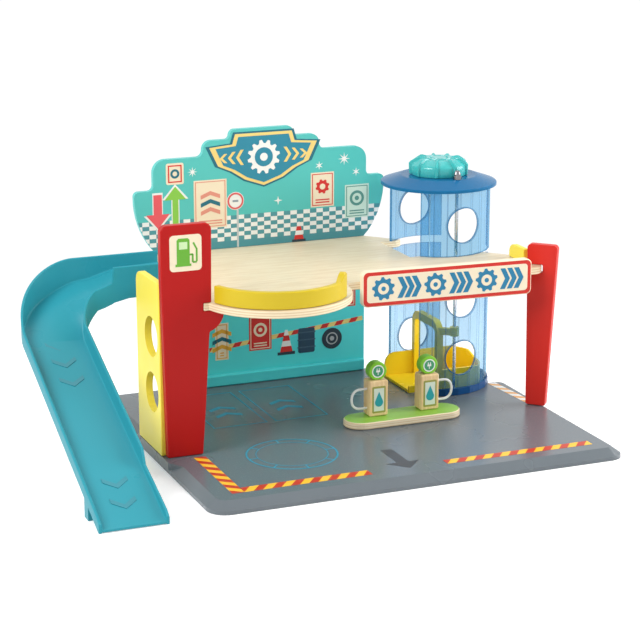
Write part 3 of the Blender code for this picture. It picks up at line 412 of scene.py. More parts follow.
def dress_frame():
    """Finishes of the pieces that keep their shape; the two pillar reds and the lower wall's turquoises
    carry painted light and shade.
    """
    # Both pillars share one red lacquer; this left pillar copy is darkened as painted shade.
    red = lacquer("pillar red", (0.46, 0.010, 0.009), 0.34, 0.36, 0.02, 0.15)
    yellow = lacquer("wall yellow", (0.93, 0.76, 0.075))
    # Turquoise lacquer of the lower wall, made lighter than its paint as painted light, because the deck
    # shades it.
    aqua = lacquer("lower mural painted light", (0.10, 0.74, 0.75), 0.28, 0.38)
    steel = metal("steel", (0.72, 0.72, 0.74), 0.2, 0.3)
    chrome = metal("chrome", (0.26, 0.26, 0.28), 0.12, 0.18)
    wood = bare_wood("pump wood", (0.96, 0.72, 0.40), (0.78, 0.51, 0.24), (7.0, 7.0, 1.0))
    head = lacquer("head green", (0.23, 0.60, 0.035), 0.3, 0.4)
    tray = plastic("tray yellow", (0.95, 0.66, 0.02))
    shell = clear_shell()
    hose = plastic("hose white", (0.80, 0.81, 0.80))
    finishes = {
        "base_board": board_finish(),
        "left_pillar": red,
        # Right pillar's copy of the same red, made lighter as painted light.
        "right_pillar": lacquer("right pillar red", (0.64, 0.024, 0.016), 0.34, 0.36, 0.02, 0.2),
        "left_side_wall": yellow,
        "right_rail": yellow,
        "lower_back_wall": aqua,
        # Skirting turquoise, likewise made lighter as painted light under the deck.
        "wall_skirting": lacquer("skirting aqua", (0.09, 0.70, 0.73)),
        "upper_back_wall": mural_upper(),
        "deck": deck_ply(),
        "balcony_guard": lacquer("guard yellow", (0.62, 0.46, 0.015)),
        "sign_board": lacquer("sign cream", CREAM),
        "tower_base_ring": plastic("ring blue", (0.008, 0.07, 0.22), 0.22, 0.3, 0.15),
        "tower_lower_front": shell,
        "tower_lower_back": shell,
        "tower_upper_front": shell,
        "tower_upper_back": shell,
        "tower_roof": plastic("roof blue", (0.006, 0.13, 0.30), 0.22, 0.28, 0.15),
        "lift_knob": plastic("knob solid", KNOB_AQUA, 0.2, 0.28),
        "knob_drum": plastic("drum white", (0.8, 0.8, 0.8)),
        "lift_cord": cord_finish(),
        "rod_nut": chrome,
        "lift_carriage": tray,
        "ramp_chute": plastic("chute solid", CHUTE_AQUA, 0.26, 0.34, 0.12),
        "pump_island": island_finish(),
        "pump_body_1": wood,
        "pump_body_2": wood,
        "pump_head_1": head,
        "pump_head_2": head,
        "pump_hose_1": hose,
        "pump_hose_2": hose,
    }
    for name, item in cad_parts.items():
        finish = finishes.get(name, steel)
        if not item.data.materials:
            item.data.materials.append(finish)
        for index in range(len(item.data.materials)):
            item.data.materials[index] = finish


def disc(cx, cy, radius, steps=28):
    """Round outline."""
    turns = [2 * math.pi * i / steps for i in range(steps)]
    return [(cx + radius * math.cos(a), cy + radius * math.sin(a)) for a in turns]


def box(x0, y0, x1, y1):
    """Rectangle between two corners."""
    return [(x0, y0), (x1, y0), (x1, y1), (x0, y1)]


def soft_box(x0, y0, x1, y1, radius, steps=5):
    """Rectangle with round corners."""
    points = []
    corners = ((x1 - radius, y1 - radius, 0), (x0 + radius, y1 - radius, 90))
    corners += ((x0 + radius, y0 + radius, 180), (x1 - radius, y0 + radius, 270))
    for cx, cy, start in corners:
        for i in range(steps + 1):
            a = math.radians(start + 90 * i / steps)
            points.append((cx + radius * math.cos(a), cy + radius * math.sin(a)))
    return points


def star(cx, cy, outer, inner, tips):
    """Star outline with its first tip pointing up."""
    points = []
    for i in range(2 * tips):
        a = math.radians(90.0) + math.pi * i / tips
        r = outer if i % 2 == 0 else inner
        points.append((cx + r * math.cos(a), cy + r * math.sin(a)))
    return points


def gear(cx, cy, radius, teeth):
    """Toothed wheel outline."""
    points = []
    for i in range(teeth):
        for share, r in ((0.0, 0.80), (0.22, 1.0), (0.50, 1.0), (0.72, 0.80)):
            a = 2 * math.pi * (i + share) / teeth
            points.append((cx + radius * r * math.cos(a), cy + radius * r * math.sin(a)))
    return points


def chevron(cx, cy, width, height, thickness):
    """Angle mark pointing to +X."""
    h = height / 2
    w = width / 2
    return [
        (cx - w, cy - h), (cx - w + thickness, cy - h), (cx + w, cy),
        (cx - w + thickness, cy + h), (cx - w, cy + h), (cx + w - thickness, cy),
    ]


def arrow(cx, tail, tip, shaft, head, head_length):
    """Arrow along the second axis from tail to tip."""
    way = 1 if tip > tail else -1
    neck = tip - way * head_length
    s, h = shaft / 2, head / 2
    right = [(cx + s, tail), (cx + s, neck), (cx + h, neck)]
    left = [(cx - h, neck), (cx - s, neck), (cx - s, tail)]
    return right + [(cx, tip)] + left


def moved(outline, dx, dy):
    """Outline shifted by dx and dy."""
    return [(x + dx, y + dy) for x, y in outline]


def skin(mesh, loops):
    """Faces between closed loops of points, with a cap at both ends."""
    count = len(loops[0])
    for first, second in zip(loops, loops[1:]):
        for i in range(count):
            j = (i + 1) % count
            mesh.faces.new((first[i], first[j], second[j], second[i]))
    mesh.faces.new(list(reversed(loops[0])))
    mesh.faces.new(loops[-1])


def placed(name, mesh, materials, smooth_below=None):
    """Object made from a bmesh, with smooth shading below an angle in degrees where one is given."""
    data = bpy.data.meshes.new(name)
    mesh.to_mesh(data)
    mesh.free()
    if smooth_below:
        data.shade_smooth()
        data.set_sharp_from_angle(angle=math.radians(smooth_below))
    for material in materials:
        data.materials.append(material)
    item = bpy.data.objects.new(name, data)
    bpy.context.scene.collection.objects.link(item)
    return item


class Print:
    """Thin coloured patches on one face, built as one mesh with a slot for each colour."""

    def __init__(self, name, place, body="garage", slot="sign_cream"):
        self.name = name
        self.place = place
        self.body = body
        self.slot = slot
        self.patches = []

    def add(self, outline, colour, level=0):
        self.patches.append((outline, colour, level))

    def ring(self, cx, cy, outer, inner, colour, level=0, steps=36):
        for i in range(steps):
            a, b = 2 * math.pi * i / steps, 2 * math.pi * (i + 1) / steps
            corners = ((inner, a), (outer, a), (outer, b), (inner, b))
            wedge = [(cx + r * math.cos(t), cy + r * math.sin(t)) for r, t in corners]
            self.add(wedge, colour, level)

    def frame(self, x0, y0, x1, y1, width, colour, level=0):
        self.add(box(x0, y0, x1, y0 + width), colour, level)
        self.add(box(x0, y1 - width, x1, y1), colour, level)
        self.add(box(x0, y0 + width, x0 + width, y1 - width), colour, level)
        self.add(box(x1 - width, y0 + width, x1, y1 - width), colour, level)

    def stripes(self, start, end, width, pitch, colours, level=0):
        """Slanted hazard bars along a line."""
        dx, dy = end[0] - start[0], end[1] - start[1]
        length = math.hypot(dx, dy)
        ux, uy = dx / length, dy / length
        count = round(length / pitch)
        step = length / count
        lean = width * 0.8

        def point(along, across):
            along = min(max(along, 0.0), length)
            return start[0] + ux * along - uy * across, start[1] + uy * along + ux * across

        for i in range(-1, count + 1):
            a, b = i * step, (i + 1) * step
            if b + lean <= 0 or a >= length:
                continue
            bar = [point(a, 0), point(b, 0), point(b + lean, width), point(a + lean, width)]
            self.add(clean(bar), colours[i % len(colours)], level)

    def build(self):
        mesh = bmesh.new()
        colours = []
        for outline, colour, level in self.patches:
            if len(outline) < 3:
                continue
            if colour not in colours:
                colours.append(colour)
            top = PRINT_LIFT * (level + 1)
            low = [mesh.verts.new(self.place(x, y, -PRINT_SINK)) for x, y in outline]
            high = [mesh.verts.new(self.place(x, y, top)) for x, y in outline]
            faces = [mesh.faces.new(list(reversed(low))), mesh.faces.new(high)]
            for i in range(len(low)):
                j = (i + 1) % len(low)
                faces.append(mesh.faces.new((low[i], low[j], high[j], high[i])))
            for face in faces:
                face.material_index = colours.index(colour)
        bmesh.ops.recalc_face_normals(mesh, faces=mesh.faces)
        item = placed(self.name, mesh, [ink(colour) for colour in colours])
        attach(item, self.body)


def clean(outline):
    """Outline without points that repeat."""
    kept = []
    for point in outline:
        if not kept or math.dist(point, kept[-1]) > 0.05:
            kept.append(point)
    if len(kept) > 1 and math.dist(kept[0], kept[-1]) < 0.05:
        kept.pop()
    return kept


INKS = {}


def ink(colour):
    """Printed colour, one finish for each tone."""
    if colour not in INKS:
        INKS[colour] = lacquer("ink %d" % len(INKS), colour, 0.3, 0.4, 0.04)
    return INKS[colour]


def on_top(height):
    """Plane of a flat top at a height."""
    return lambda x, y, lift: row(x, y, height + lift)


def on_front(depth):
    """Plane of a face that looks to the front, at a depth from the board's front edge."""
    return lambda x, z, lift: row(x, depth - lift, z)


def on_turned(origin, degrees):
    """Plane of a front face that starts at a point and is turned about the upright axis."""
    a = math.radians(degrees)

    def place(along, z, lift):
        x = origin[0] + along * math.cos(a) + lift * math.sin(a)
        y = origin[1] + along * math.sin(a) - lift * math.cos(a)
        return row(x, y, z)

    return place


def board_prints():
    """Hazard bars, arrow, turning circle and two bays on the base board."""
    p = Print("board_prints", on_top(BOARD_TOP), slot="board_grey")
    hazard = (HAZARD_YELLOW, HAZARD_RED)
    p.stripes((25.5, 124), (25.5, 23), 11.0, 8.6, hazard)
    p.stripes((36.5, 23), (156, 23), 11.5, 8.6, hazard)
    p.stripes((229, 23.5), (375, 22), 10.0, 8.6, hazard)
    p.stripes((373.5, 229), (378.5, 160), 8.5, 7.5, ((0.75, 0.36, 0.10), WHITE))
    p.add(arrow(194, 79, 26, 11, 32, 17), ARROW_GREY)
    middle_x, middle_y = 111, 101
    p.ring(middle_x, middle_y, 42, 40.4, BAY_CYAN, steps=64)
    p.ring(middle_x, middle_y, 33, 32.2, BAY_CYAN, steps=56)
    for turn in range(0, 360, 45):
        a = math.radians(turn)
        nx, ny = -math.sin(a) * 0.7, math.cos(a) * 0.7
        ends = [(middle_x + r * math.cos(a), middle_y + r * math.sin(a)) for r in (33, 40.4)]
        bar = [(ends[0][0] - nx, ends[0][1] - ny), (ends[1][0] - nx, ends[1][1] - ny)]
        bar += [(ends[1][0] + nx, ends[1][1] + ny), (ends[0][0] + nx, ends[0][1] + ny)]
        p.add(bar, BAY_CYAN)
    for left in (70, 132):
        p.frame(left, 196, left + 54, 300, 1.4, BAY_CYAN)
        p.add(chevron_up(left + 27, 232, 26, 14, 6), BAY_CYAN)
        p.add(chevron_up(left + 27, 252, 26, 14, 6), BAY_CYAN)
    p.build()


def chevron_up(cx, cy, width, height, thickness):
    """Angle mark pointing along the second axis."""
    return [(cx + (y - cy), cy + (x - cx)) for x, y in chevron(cx, cy, height, width, thickness)]


def upper_wall_prints():
    """Badge, stars, arrows, posters and a cone on the wall above the deck."""
    p = Print("upper_wall_prints", on_front(WALL_FRONT), slot="mural_aqua")
    middle = 171
    badge = [(-57, 250), (-33, 252), (-30, 262), (30, 262), (33, 252), (57, 250), (48, 231), (34, 225)]
    badge += [(20, 216), (0, 209), (-20, 216), (-34, 225), (-48, 231)]
    p.add(grown(badge, middle, 237, 1.06), PETROL)
    p.add(grown(badge, middle, 237, 0.99), PALE_YELLOW, 1)
    p.add(grown(badge, middle, 237, 0.88), BADGE_BLUE, 2)
    for side in (-1, 1):
        for i in range(3):
            mark = chevron(0, 0, 8, 15 - 3 * i, 3.2)
            p.add([(middle + side * (25 + 8.5 * i + x), 240 + y) for x, y in mark], PALE_YELLOW, 3)
    p.add(gear(middle, 239, 17, 12), WHITE, 3)
    p.add(disc(middle, 239, 9.5), BADGE_BLUE, 4)
    p.add(disc(middle, 239, 4.0, 20), WHITE, 5)
    stars = ((8, 97, 229, 5), (6, 230, 226, 4.5), (8, 257, 231, 6.5), (6, 270, 217, 4.5), (4, 186, 194, 4.5))
    for tips, x, z, size in stars:
        p.add(star(x, z, size, size * 0.28, tips), WHITE)
    p.add(soft_box(70, 218, 88, 239, 2), CREAM)
    p.frame(72, 220, 86, 237, 1.2, RED, 1)
    p.ring(79, 228.5, 4.6, 2.4, PETROL, 1, 20)
    p.add(grown(centred(arrow(79, 179, 217, 7.5, 25, 14)), 79, 198, 1.07), WHITE)
    p.add(arrow(79, 179, 216, 6, 22, 13), (0.25, 0.58, 0.08), 1)
    p.add(grown(centred(arrow(61, 210, 174, 10, 27, 15)), 61, 192, 1.05), WHITE)
    p.add(arrow(61, 209, 175.5, 8.5, 24, 14), (0.80, 0.11, 0.13), 1)
    poster(p, 98, 172, 132, 220, CREAM, (0.74, 0.30, 0.22), "cup")
    poster(p, 221, 184, 246, 219, CREAM, RED, "gear")
    poster(p, 258, 170, 284, 204, (0.62, 0.80, 0.70), (0.10, 0.30, 0.26), "wheel")
    p.add(disc(141, 197, 9), WHITE)
    p.ring(141, 197, 8.4, 6.6, (0.70, 0.12, 0.12), 1, 24)
    p.add(box(138, 196, 144, 198), (0.28, 0.34, 0.38), 1)
    p.add(box(142.2, 150.4, 144.2, 188), (0.55, 0.60, 0.60))
    traffic_cone(p, 208, 150.5, 20)
    p.build()


def centred(outline):
    """Outline moved so that its box is centred on the origin."""
    xs = [x for x, _ in outline]
    ys = [y for _, y in outline]
    return moved(outline, -(min(xs) + max(xs)) / 2, -(min(ys) + max(ys)) / 2)


def grown(outline, cx, cy, factor):
    """Outline scaled, with the middle of its box set down at a point."""
    flat = centred(outline)
    return moved([(x * factor, y * factor) for x, y in flat], cx, cy)


def poster(p, x0, z0, x1, z1, paper, trim, motif):
    """Plain poster with a border and one simple mark."""
    p.add(box(x0, z0, x1, z1), paper)
    p.frame(x0 + 1.4, z0 + 1.4, x1 - 1.4, z1 - 1.4, 0.8, trim, 1)
    cx, cz = (x0 + x1) / 2, (z0 + z1) / 2 + 3
    size = (x1 - x0) * 0.3
    if motif == "gear":
        p.add(gear(cx, cz, size, 8), trim, 1)
        p.add(disc(cx, cz, size * 0.4, 18), paper, 2)
    if motif == "wheel":
        p.ring(cx, cz, size, size * 0.66, trim, 1, 24)
        p.add(disc(cx, cz, size * 0.3, 18), trim, 1)
    if motif == "cup":
        for i in range(3):
            p.add(chevron_up(cx, cz + 6 - 8 * i, 20, 8, 4), (trim, PETROL, trim)[i], 1)
    for i in range(2):
        p.add(box(x0 + 5, z0 + 4 + 2.6 * i, x1 - 5, z0 + 5.2 + 2.6 * i), trim, 1)


def traffic_cone(p, cx, low, height):
    """Striped cone on a flat foot."""
    half = height * 0.26
    p.add(box(cx - half * 1.4, low, cx + half * 1.4, low + height * 0.12), INK)
    rows = 4
    for i in range(rows):
        z0 = low + height * (0.12 + 0.88 * i / rows)
        z1 = low + height * (0.12 + 0.88 * (i + 1) / rows)
        w0 = half * (1 - i / rows * 0.8)
        w1 = half * (1 - (i + 1) / rows * 0.8)
        p.add([(cx - w0, z0), (cx + w0, z0), (cx + w1, z1), (cx - w1, z1)], (RED, WHITE)[i % 2], 1)


def lower_wall_prints():
    """Striped tape, stars, posters, cone, drum and tyre on the wall under the deck."""
    p = Print("lower_wall_prints", on_front(WALL_FRONT), slot="mural_aqua")
    p.stripes((112, 45), (278, 62), 4.5, 8.0, (PALE_YELLOW, RED), -0.5)
    for tips, x, z, size in ((8, 135, 88, 6), (6, 160, 98, 4.5), (8, 236, 100, 5), (6, 120, 110, 4)):
        p.add(star(x, z, size, size * 0.28, tips), WHITE)
    poster(p, 154, 42, 178, 78, RED, CREAM, "wheel")
    poster(p, 246, 78, 270, 112, RED, CREAM, "gear")
    poster(p, 118, 36, 132, 74, CREAM, (0.80, 0.42, 0.05), "cup")
    traffic_cone(p, 194, 34, 26)
    drum(p, 216, 34, 18, 26)
    p.add(disc(244, 46, 11, 36), INK, 1)
    p.ring(244, 46, 6.4, 5.2, HUB_GREY, 2, 24)
    p.add(disc(244, 46, 2.4, 18), HUB_GREY, 2)
    p.add(soft_box(199, 78, 206, 98, 2.5), RED, 1)
    p.add(box(200.5, 98, 204.5, 101.5), INK, 1)
    p.build()


def drum(p, cx, low, width, height):
    """Barrel seen from the side, with three hoops."""
    p.add(soft_box(cx - width / 2, low, cx + width / 2, low + height, 2.0), (0.03, 0.07, 0.12), 1)
    for i in range(3):
        z = low + height * (0.2 + 0.3 * i)
        p.add(box(cx - width / 2 - 0.8, z, cx + width / 2 + 0.8, z + 1.2), (0.06, 0.12, 0.18), 2)


def pump_mark(p, x0, z0, size, colour, inner, level):
    """Plain fuel pump pictogram in a square of the given size."""
    def spot(u, v):
        return x0 + u * size, z0 + v * size

    def patch(points, tone, step):
        p.add([spot(u, v) for u, v in points], tone, level + step)

    patch([(0.12, 0.05), (0.66, 0.05), (0.66, 0.13), (0.12, 0.13)], colour, 0)
    patch([(0.17, 0.13), (0.61, 0.13), (0.61, 0.92), (0.55, 0.98), (0.23, 0.98), (0.17, 0.92)], colour, 0)
    patch([(0.25, 0.62), (0.53, 0.62), (0.53, 0.86), (0.25, 0.86)], inner, 1)
    patch([(0.61, 0.40), (0.72, 0.40), (0.72, 0.46), (0.61, 0.46)], colour, 0)
    patch([(0.68, 0.18), (0.74, 0.14), (0.74, 0.44), (0.68, 0.44)], colour, 0)
    patch([(0.72, 0.14), (0.84, 0.14), (0.84, 0.20), (0.72, 0.20)], colour, 0)
    patch([(0.82, 0.14), (0.88, 0.20), (0.88, 0.62), (0.82, 0.62)], colour, 0)
    patch([(0.82, 0.60), (0.88, 0.60), (0.76, 0.84), (0.71, 0.80)], colour, 0)


def pillar_prints():
    """Label with a fuel pump on the left upright."""
    p = Print("pillar_prints", on_front(PILLAR_FACE), slot="sign_cream")
    p.add(soft_box(8.5, 181, 38.0, 213.5, 3.5), CREAM)
    pump_mark(p, 10.5, 184, 27, ICON_GREEN, PALE_GREEN, 1)
    p.build()


def sign_prints():
    """Red border round a cream field with gears and angle marks."""
    p = Print("sign_prints", on_turned((SIGN_LEFT, SIGN_FRONT), SIGN_TURN), slot="sign_cream")
    low, high = SIGN_LOW, SIGN_HIGH
    p.add(soft_box(0.9, low + 0.9, SIGN_LENGTH - 0.9, high - 0.9, 4.4), SIGN_RED)
    p.add(soft_box(4.2, low + 4.2, SIGN_LENGTH - 4.2, high - 4.2, 3.2), CREAM, 1)
    middle = (low + high) / 2
    count = 6
    for i in range(count):
        along = SIGN_LENGTH / 2 + (i - (count - 1) / 2) * SIGN_PITCH
        if i % 2 == 0:
            p.add(gear(along, middle, 11.2, 9), SIGN_BLUE, 2)
            p.add(disc(along, middle, 5.4, 24), CREAM, 3)
            p.add(disc(along, middle, 2.2, 16), SIGN_BLUE, 4)
        else:
            for shift in (-7, 0, 7):
                p.add(chevron(along + shift, middle, 10, 20, 5), SIGN_BLUE, 2)
    p.build()


def pump_prints():
    """Panels with a drop on the two pumps."""
    p = Print("pump_prints", on_front(PUMP_FACE), slot="hose_white")
    for left in PUMP_LEFTS:
        p.add(soft_box(left + 2.6, 20.5, left + 16.2, 46.5, 1.2), (0.35, 0.36, 0.08))
        p.add(box(left + 4.2, 22.4, left + 14.6, 44.6), (0.72, 0.80, 0.68), 1)
        p.add(drop(left + PUMP_MIDDLE, 33.0, 8.4), (0.03, 0.36, 0.40), 2)
    p.build()


def drop(cx, cz, size):
    """Drop outline with a pointed top."""
    points = [(cx, cz + size)]
    for i in range(15):
        a = math.radians(150 + 240 * i / 14)
        points.append((cx + size * 0.5 * math.cos(a), cz - size * 0.25 + size * 0.5 * math.sin(a)))
    return points


def head_prints():
    """Round labels with a plug on the two pump heads."""
    p = Print("head_prints", on_front(HEAD_FACE), slot="hose_white")
    centre = 60.5
    for left in PUMP_LEFTS:
        middle = left + PUMP_MIDDLE
        p.ring(middle, centre, 6.2, 5.1, WHITE, 0, 28)
        p.add(disc(middle, centre, 5.1, 24), (0.06, 0.34, 0.16))
        p.add(box(middle - 2, centre - 0.8, middle + 2, centre + 1), WHITE, 1)
        p.add(box(middle - 1.5, centre + 1, middle - 0.7, centre + 3), WHITE, 1)
        p.add(box(middle + 0.7, centre + 1, middle + 1.5, centre + 3), WHITE, 1)
        p.add(box(middle - 0.4, centre - 3.4, middle + 0.4, centre - 0.8), WHITE, 1)
    p.build()


def chute_floor(y):
    """Height of the chute's floor on its straight lower run."""
    return CHUTE_FOOT + CHUTE_SLOPE * y


def chute_line():
    """Outer and inner wall points, floor, both rims and both skirts down the chute, in fine steps."""
    far, near, left, right = 297.2, 244.5, -99.0, -40.3
    outer_radius, inner_radius = 64.1, 15.4
    turn_y, inner_y = far - outer_radius, near - inner_radius
    rim_top = 161.8
    line = []
    straight = ((49.7, 150.0, rim_top, 132.5), (5.0, 147.5, rim_top, 131.0), (-9.0, 144.0, rim_top, 128.0))
    straight += ((-10.5, 143.5, 147.0, 127.0), (-18.0, 141.0, 144.3, 124.0))
    for x, floor, inner_rim, inner_skirt in straight:
        line.append(((x, far), (x, near), floor, rim_top, inner_rim, 138.0, inner_skirt))
    low_floor = chute_floor(turn_y)
    low_rim = RIM_FOOT + RIM_SLOPE * turn_y
    low_inner_rim = INNER_RIM_FOOT + RIM_SLOPE * inner_y
    low_skirt = chute_floor(inner_y) - 3.0
    steps = 72
    for i in range(steps + 1):
        s = i / steps
        a = math.radians(90 + 90 * s)
        outer = (left + outer_radius * (1 + math.cos(a)), turn_y + outer_radius * math.sin(a))
        inner = (right + inner_radius * (1 + math.cos(a)), inner_y + inner_radius * math.sin(a))
        floor = 138.5 - (138.5 - low_floor) * s ** 1.1
        rim = rim_top - (rim_top - low_rim) * s ** 1.64
        inner_rim = 142.0 - (142.0 - low_inner_rim) * s ** 1.35
        skirt = min(138.0 - (141.5 - floor) * min(1.0, s * 1.3), floor - 3.0)
        line.append((outer, inner, floor, rim, inner_rim, skirt, 122.0 - (122.0 - low_skirt) * s))
    for y in (200.0, 150.0, 100.0, 68.0, 62.0, 40.0, 20.0, 6.0, 2.0, 0.0):
        inner_x = right + 2.3 * min(1.0, (turn_y - y) / 190)
        worn = max(0.0, 2.2 - 0.55 * y)
        rim = RIM_FOOT + RIM_SLOPE * y - worn
        inner_rim = (INNER_RIM_FOOT + RIM_SLOPE * y if y > 65 else 9.4 + 0.38 * y) - worn
        skirt = max(0.0, chute_floor(y) - 3.2)
        line.append(((left, y), (inner_x, y), chute_floor(y), rim, inner_rim, skirt, skirt))
    return line


def chute_section(length, floor, rim, inner_rim, skirt, inner_skirt):
    """Channel section with round rims and a small fillet at the floor, as (across, height)."""
    wall, thickness, fillet = 2.5, 2.0, 1.6
    points = [(0.0, skirt)]

    def crown(x0, top):
        half = wall / 2
        turns = [math.pi * (1 - i / 6) for i in range(7)]
        return [(x0 + half + half * math.cos(t), top - half + half * math.sin(t)) for t in turns]

    points += crown(0.0, rim)
    for i in range(4):
        t = math.pi * (1 + i / 6)
        points.append((wall + fillet + fillet * math.cos(t), floor + fillet + fillet * math.sin(t)))
    last = length - wall - fillet
    points += [(wall + fillet + (last - wall - fillet) * i / 8, floor) for i in range(1, 8)]
    for i in range(4):
        t = math.pi * (1.5 + i / 6)
        points.append((last + fillet * math.cos(t), floor + fillet + fillet * math.sin(t)))
    points += crown(length - wall, inner_rim)
    under = floor - thickness
    points += [(length, inner_skirt), (length - wall, inner_skirt)]
    return points + [(length - wall, under), (wall, under), (wall, skirt)]


def block(mesh, low, high, lift):
    """Upright box in a bmesh, its top raised by lift at the two back corners."""
    corners = [(low[0], low[1]), (high[0], low[1]), (high[0], high[1]), (low[0], high[1])]
    feet = [mesh.verts.new(row(x, y, low[2])) for x, y in corners]
    tops = [mesh.verts.new(row(x, y, high[2] + (lift if y == high[1] else 0.0))) for x, y in corners]
    mesh.faces.new(list(reversed(feet)))
    mesh.faces.new(tops)
    for i in range(4):
        j = (i + 1) % 4
        mesh.faces.new((feet[i], feet[j], tops[j], tops[i]))


def smooth_chute():
    """Chute with the same walls as the solid, in finer steps so that its turn is smooth."""
    mesh = bmesh.new()
    loops = []
    for outer, inner, floor, rim, inner_rim, skirt, inner_skirt in chute_line():
        length = math.dist(outer, inner)
        dx, dy = (inner[0] - outer[0]) / length, (inner[1] - outer[1]) / length
        section = chute_section(length, floor, rim, inner_rim, skirt, inner_skirt)
        loops.append([mesh.verts.new(row(outer[0] + dx * t, outer[1] + dy * t, z)) for t, z in section])
    skin(mesh, loops)
    # The leg near the foot, then the hook's tongue under the deck and its web.
    block(mesh, (-98.8, 32.0, 0.0), (-94.0, 43.0, chute_floor(32.0) - 1.0), 4.6)
    block(mesh, (44.0, 252.0, 139.0), (62.0, 290.0, 142.7), 0.0)
    block(mesh, (44.0, 252.0, 140.0), (49.5, 290.0, 148.8), 0.0)
    bmesh.ops.recalc_face_normals(mesh, faces=mesh.faces)
    item = placed("smooth_chute", mesh, [plastic("chute aqua", CHUTE_AQUA, 0.26, 0.34, 0.15)], 40)
    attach(item, "garage")
    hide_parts("ramp_chute")


def ribbed_knob():
    """Knob with nine round-backed ribs, finer than the solid."""
    each = 20
    steps = 9 * each
    low = 223.3

    def ring(radius, z, proud, lift=0.0):
        points = []
        for i in range(steps):
            a = 2 * math.pi * i / steps
            off = abs((i + each / 2) % each - each / 2) / 1.9
            share = math.sqrt(max(0.0, 1.0 - off * off))
            r = radius + proud * share
            x = TOWER_X + r * math.cos(a)
            y = TOWER_Y + r * math.sin(a)
            points.append(mesh.verts.new(row(x, y, z + lift * share)))
        return points

    mesh = bmesh.new()
    loops = [ring(5.3, 236.5, 0), ring(5.3, 232.5, 0), ring(25.0, 232.5, 0), ring(25.5, low, 0)]
    loops += [ring(26.9, low, 1.8), ring(27.2, low + 0.6, 2.0)]
    loops += [ring(27.2, 231.6, 2.4, 0.4), ring(26.7, 232.9, 2.9, 1.2)]
    loops += [ring(25.6, 234.0, 2.6, 1.8), ring(20.4, 237.7, 1.6, 2.0), ring(19.0, 238.5, 0.6, 1.6)]
    loops += [ring(17.6, 238.7, 0, 1.2), ring(13.6, 238.7, 0, 0.7)]
    loops += [ring(12.6, 238.7, 0), ring(12.2, 239.5, 0)]
    loops += [ring(9.4, 239.5, 0), ring(9.0, 238.6, 0), ring(7.8, 238.6, 0), ring(7.4, 239.5, 0)]
    skin(mesh, loops)
    bmesh.ops.recalc_face_normals(mesh, faces=mesh.faces)
    item = placed("ribbed_knob", mesh, [plastic("knob aqua", KNOB_AQUA, 0.16, 0.22, 0.5)], 35)
    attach(item, "knob")
    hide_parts("lift_knob")


def winding_cord():
    """Twisted cord over the length and place of the solid cord, with a mesh of its own."""
    low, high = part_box("lift_cord")
    middle = [(a + b) / 2 for a, b in zip(low, high)]
    radius = (high[0] - low[0]) / 2
    length = high[2] - low[2]
    sides = 12
    steps = round(length / (0.8 * MM))
    mesh = bmesh.new()
    rings = []
    for i in range(steps + 1):
        z = low[2] + length * i / steps
        points = []
        for j in range(sides):
            a = 2 * math.pi * j / sides
            r = radius * (0.88 + 0.12 * math.cos(3 * a - 2 * math.pi * i / 4))
            points.append(mesh.verts.new((middle[0] + r * math.cos(a), middle[1] + r * math.sin(a), z)))
        rings.append(points)
    skin(mesh, rings)
    item = placed("winding_cord", mesh, [cord_finish()], 60)
    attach(item, "garage")
    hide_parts("lift_cord")
    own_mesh(item)


def ramp_marks():
    """Raised angle marks on the chute's floor, pointing down the slope."""
    def place(x, y, lift):
        return row(x, y, chute_floor(y) + lift)

    p = Print("ramp_marks", place, slot="chute_aqua")
    for y in (26, 50, 178, 203, 226):
        mark = chevron(0, 0, 13, 22, 5)
        p.add([(-69 + v, y - u) for u, v in mark], CHEVRON_PETROL, 3)
    p.build()


def sky(tree, strength):
    """White world light of one strength."""
    node = tree.nodes.new("ShaderNodeBackground")
    node.inputs[0].default_value = (1.0, 1.0, 1.0, 1.0)
    node.inputs[1].default_value = strength
    return node


def floor_and_world():
    """Round floor under a sky that looks white but lights the toy softly."""
    world = bpy.data.worlds.new("studio")
    bpy.context.scene.world = world
    world.use_nodes = True
    tree = world.node_tree
    tree.nodes.clear()
    path = tree.nodes.new("ShaderNodeLightPath")
    soft = sky(tree, SOFT_SKY)
    seen = sky(tree, SEEN_SKY)
    direct = tree.nodes.new("ShaderNodeMath")
    direct.operation = "MAXIMUM"
    clear = tree.nodes.new("ShaderNodeMath")
    clear.operation = "MAXIMUM"
    tree.links.new(path.outputs["Is Camera Ray"], direct.inputs[0])
    tree.links.new(path.outputs["Is Glossy Ray"], direct.inputs[1])
    tree.links.new(direct.outputs[0], clear.inputs[0])
    tree.links.new(path.outputs["Is Transmission Ray"], clear.inputs[1])
    choose = tree.nodes.new("ShaderNodeMixShader")
    out = tree.nodes.new("ShaderNodeOutputWorld")
    tree.links.new(clear.outputs[0], choose.inputs[0])
    tree.links.new(soft.outputs[0], choose.inputs[1])
    tree.links.new(seen.outputs[0], choose.inputs[2])
    tree.links.new(choose.outputs[0], out.inputs[0])
    mesh = bmesh.new()
    bmesh.ops.create_circle(mesh, cap_ends=True, radius=6.0, segments=48)
    floor = placed("floor", mesh, [floor_finish()])
    floor.location = (0.0, 0.0, -0.0003)


def floor_finish():
    """Pale floor that keeps the shadow and reads as white where it is lit."""
    n = Nodes("pale floor")
    n.colour((0.93, 0.93, 0.93))
    n.shader.inputs["Roughness"].default_value = 0.6
    n.shader.inputs["Specular IOR Level"].default_value = 0.2
    x, y, _ = n.axes()
    away = n.math("SQRT", n.math("ADD", n.both(x, x), n.both(y, y)))
    lit = n.add("ShaderNodeAddShader")
    n.link(n.shader.outputs[0], lit.inputs[0])
    n.link(n.white_glow(FLOOR_GLOW), lit.inputs[1])
    shown = n.blend(n.ramp(away, 320.0, 620.0), lit.outputs[0], n.white_glow(FAR_FLOOR_GLOW))
    path = n.add("ShaderNodeLightPath")
    seen = n.math("MAXIMUM", path.outputs["Is Camera Ray"], path.outputs["Is Glossy Ray"])
    n.surface(n.blend(seen, n.shader.outputs[0], shown))
    return n.material


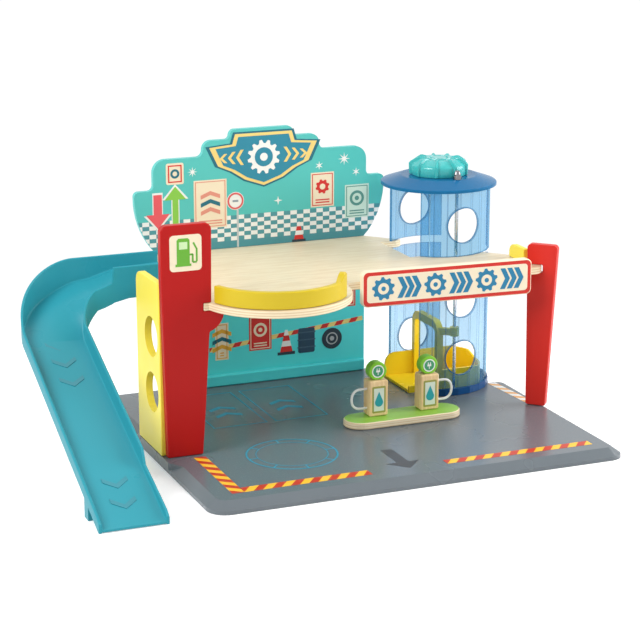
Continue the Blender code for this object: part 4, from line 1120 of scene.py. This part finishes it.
def area_light(name, place, aim, size, power):
    """Round soft lamp pointed at a place."""
    data = bpy.data.lights.new(name, "AREA")
    data.shape = "DISK"
    data.size = size
    data.energy = power
    lamp = bpy.data.objects.new(name, data)
    lamp.location = place
    direction = [a - b for a, b in zip(aim, place)]
    flat = math.hypot(direction[0], direction[1])
    tilt = math.atan2(flat, -direction[2])
    turn = math.atan2(direction[1], direction[0]) - math.pi / 2
    lamp.rotation_euler = (tilt, 0.0, turn)
    bpy.context.scene.collection.objects.link(lamp)


def inner_light(name, place, power):
    """Small soft lamp that stands in for the light let through the tower."""
    data = bpy.data.lights.new(name, "POINT")
    data.energy = power
    data.shadow_soft_size = 0.012
    lamp = bpy.data.objects.new(name, data)
    lamp.location = place
    lamp.visible_camera = False
    lamp.visible_glossy = False
    bpy.context.scene.collection.objects.link(lamp)


def lights():
    """Key from the left, fill from the right, a little from above, and two inside the tower."""
    area_light("key", (-2.0, -0.5, 1.75), (0.0, 0.0, 0.05), 1.6, 52.0)
    area_light("fill", (2.0, -0.55, 1.0), (0.0, 0.0, 0.1), 1.8, 50.0)
    area_light("top", (0.2, 0.8, 2.4), (0.0, 0.0, 0.1), 1.6, 8.0)
    inner_light("lift glow", row(TOWER_X - 8.0, TOWER_Y - 37.0, 126.0), 0.07)
    inner_light("tray glow", row(TOWER_X - 2.0, TOWER_Y - 20.0, 62.0), 0.03)


def camera():
    """Camera fitted to the photograph."""
    data = bpy.data.cameras.new("camera")
    data.lens = CAMERA_LENS
    data.sensor_width = CAMERA_SENSOR
    data.clip_start = 0.05
    data.clip_end = 30.0
    item = bpy.data.objects.new("camera", data)
    item.location = CAMERA_PLACE
    item.rotation_euler = (math.radians(90 - CAMERA_PITCH), 0.0, math.radians(-CAMERA_YAW))
    bpy.context.scene.collection.objects.link(item)
    bpy.context.scene.camera = item


bpy.context.scene.view_settings.view_transform = "Standard"
camera()
floor_and_world()
lights()
dress_frame()
board_prints()
upper_wall_prints()
lower_wall_prints()
pillar_prints()
sign_prints()
pump_prints()
head_prints()
smooth_chute()
ribbed_knob()
winding_cord()
ramp_marks()
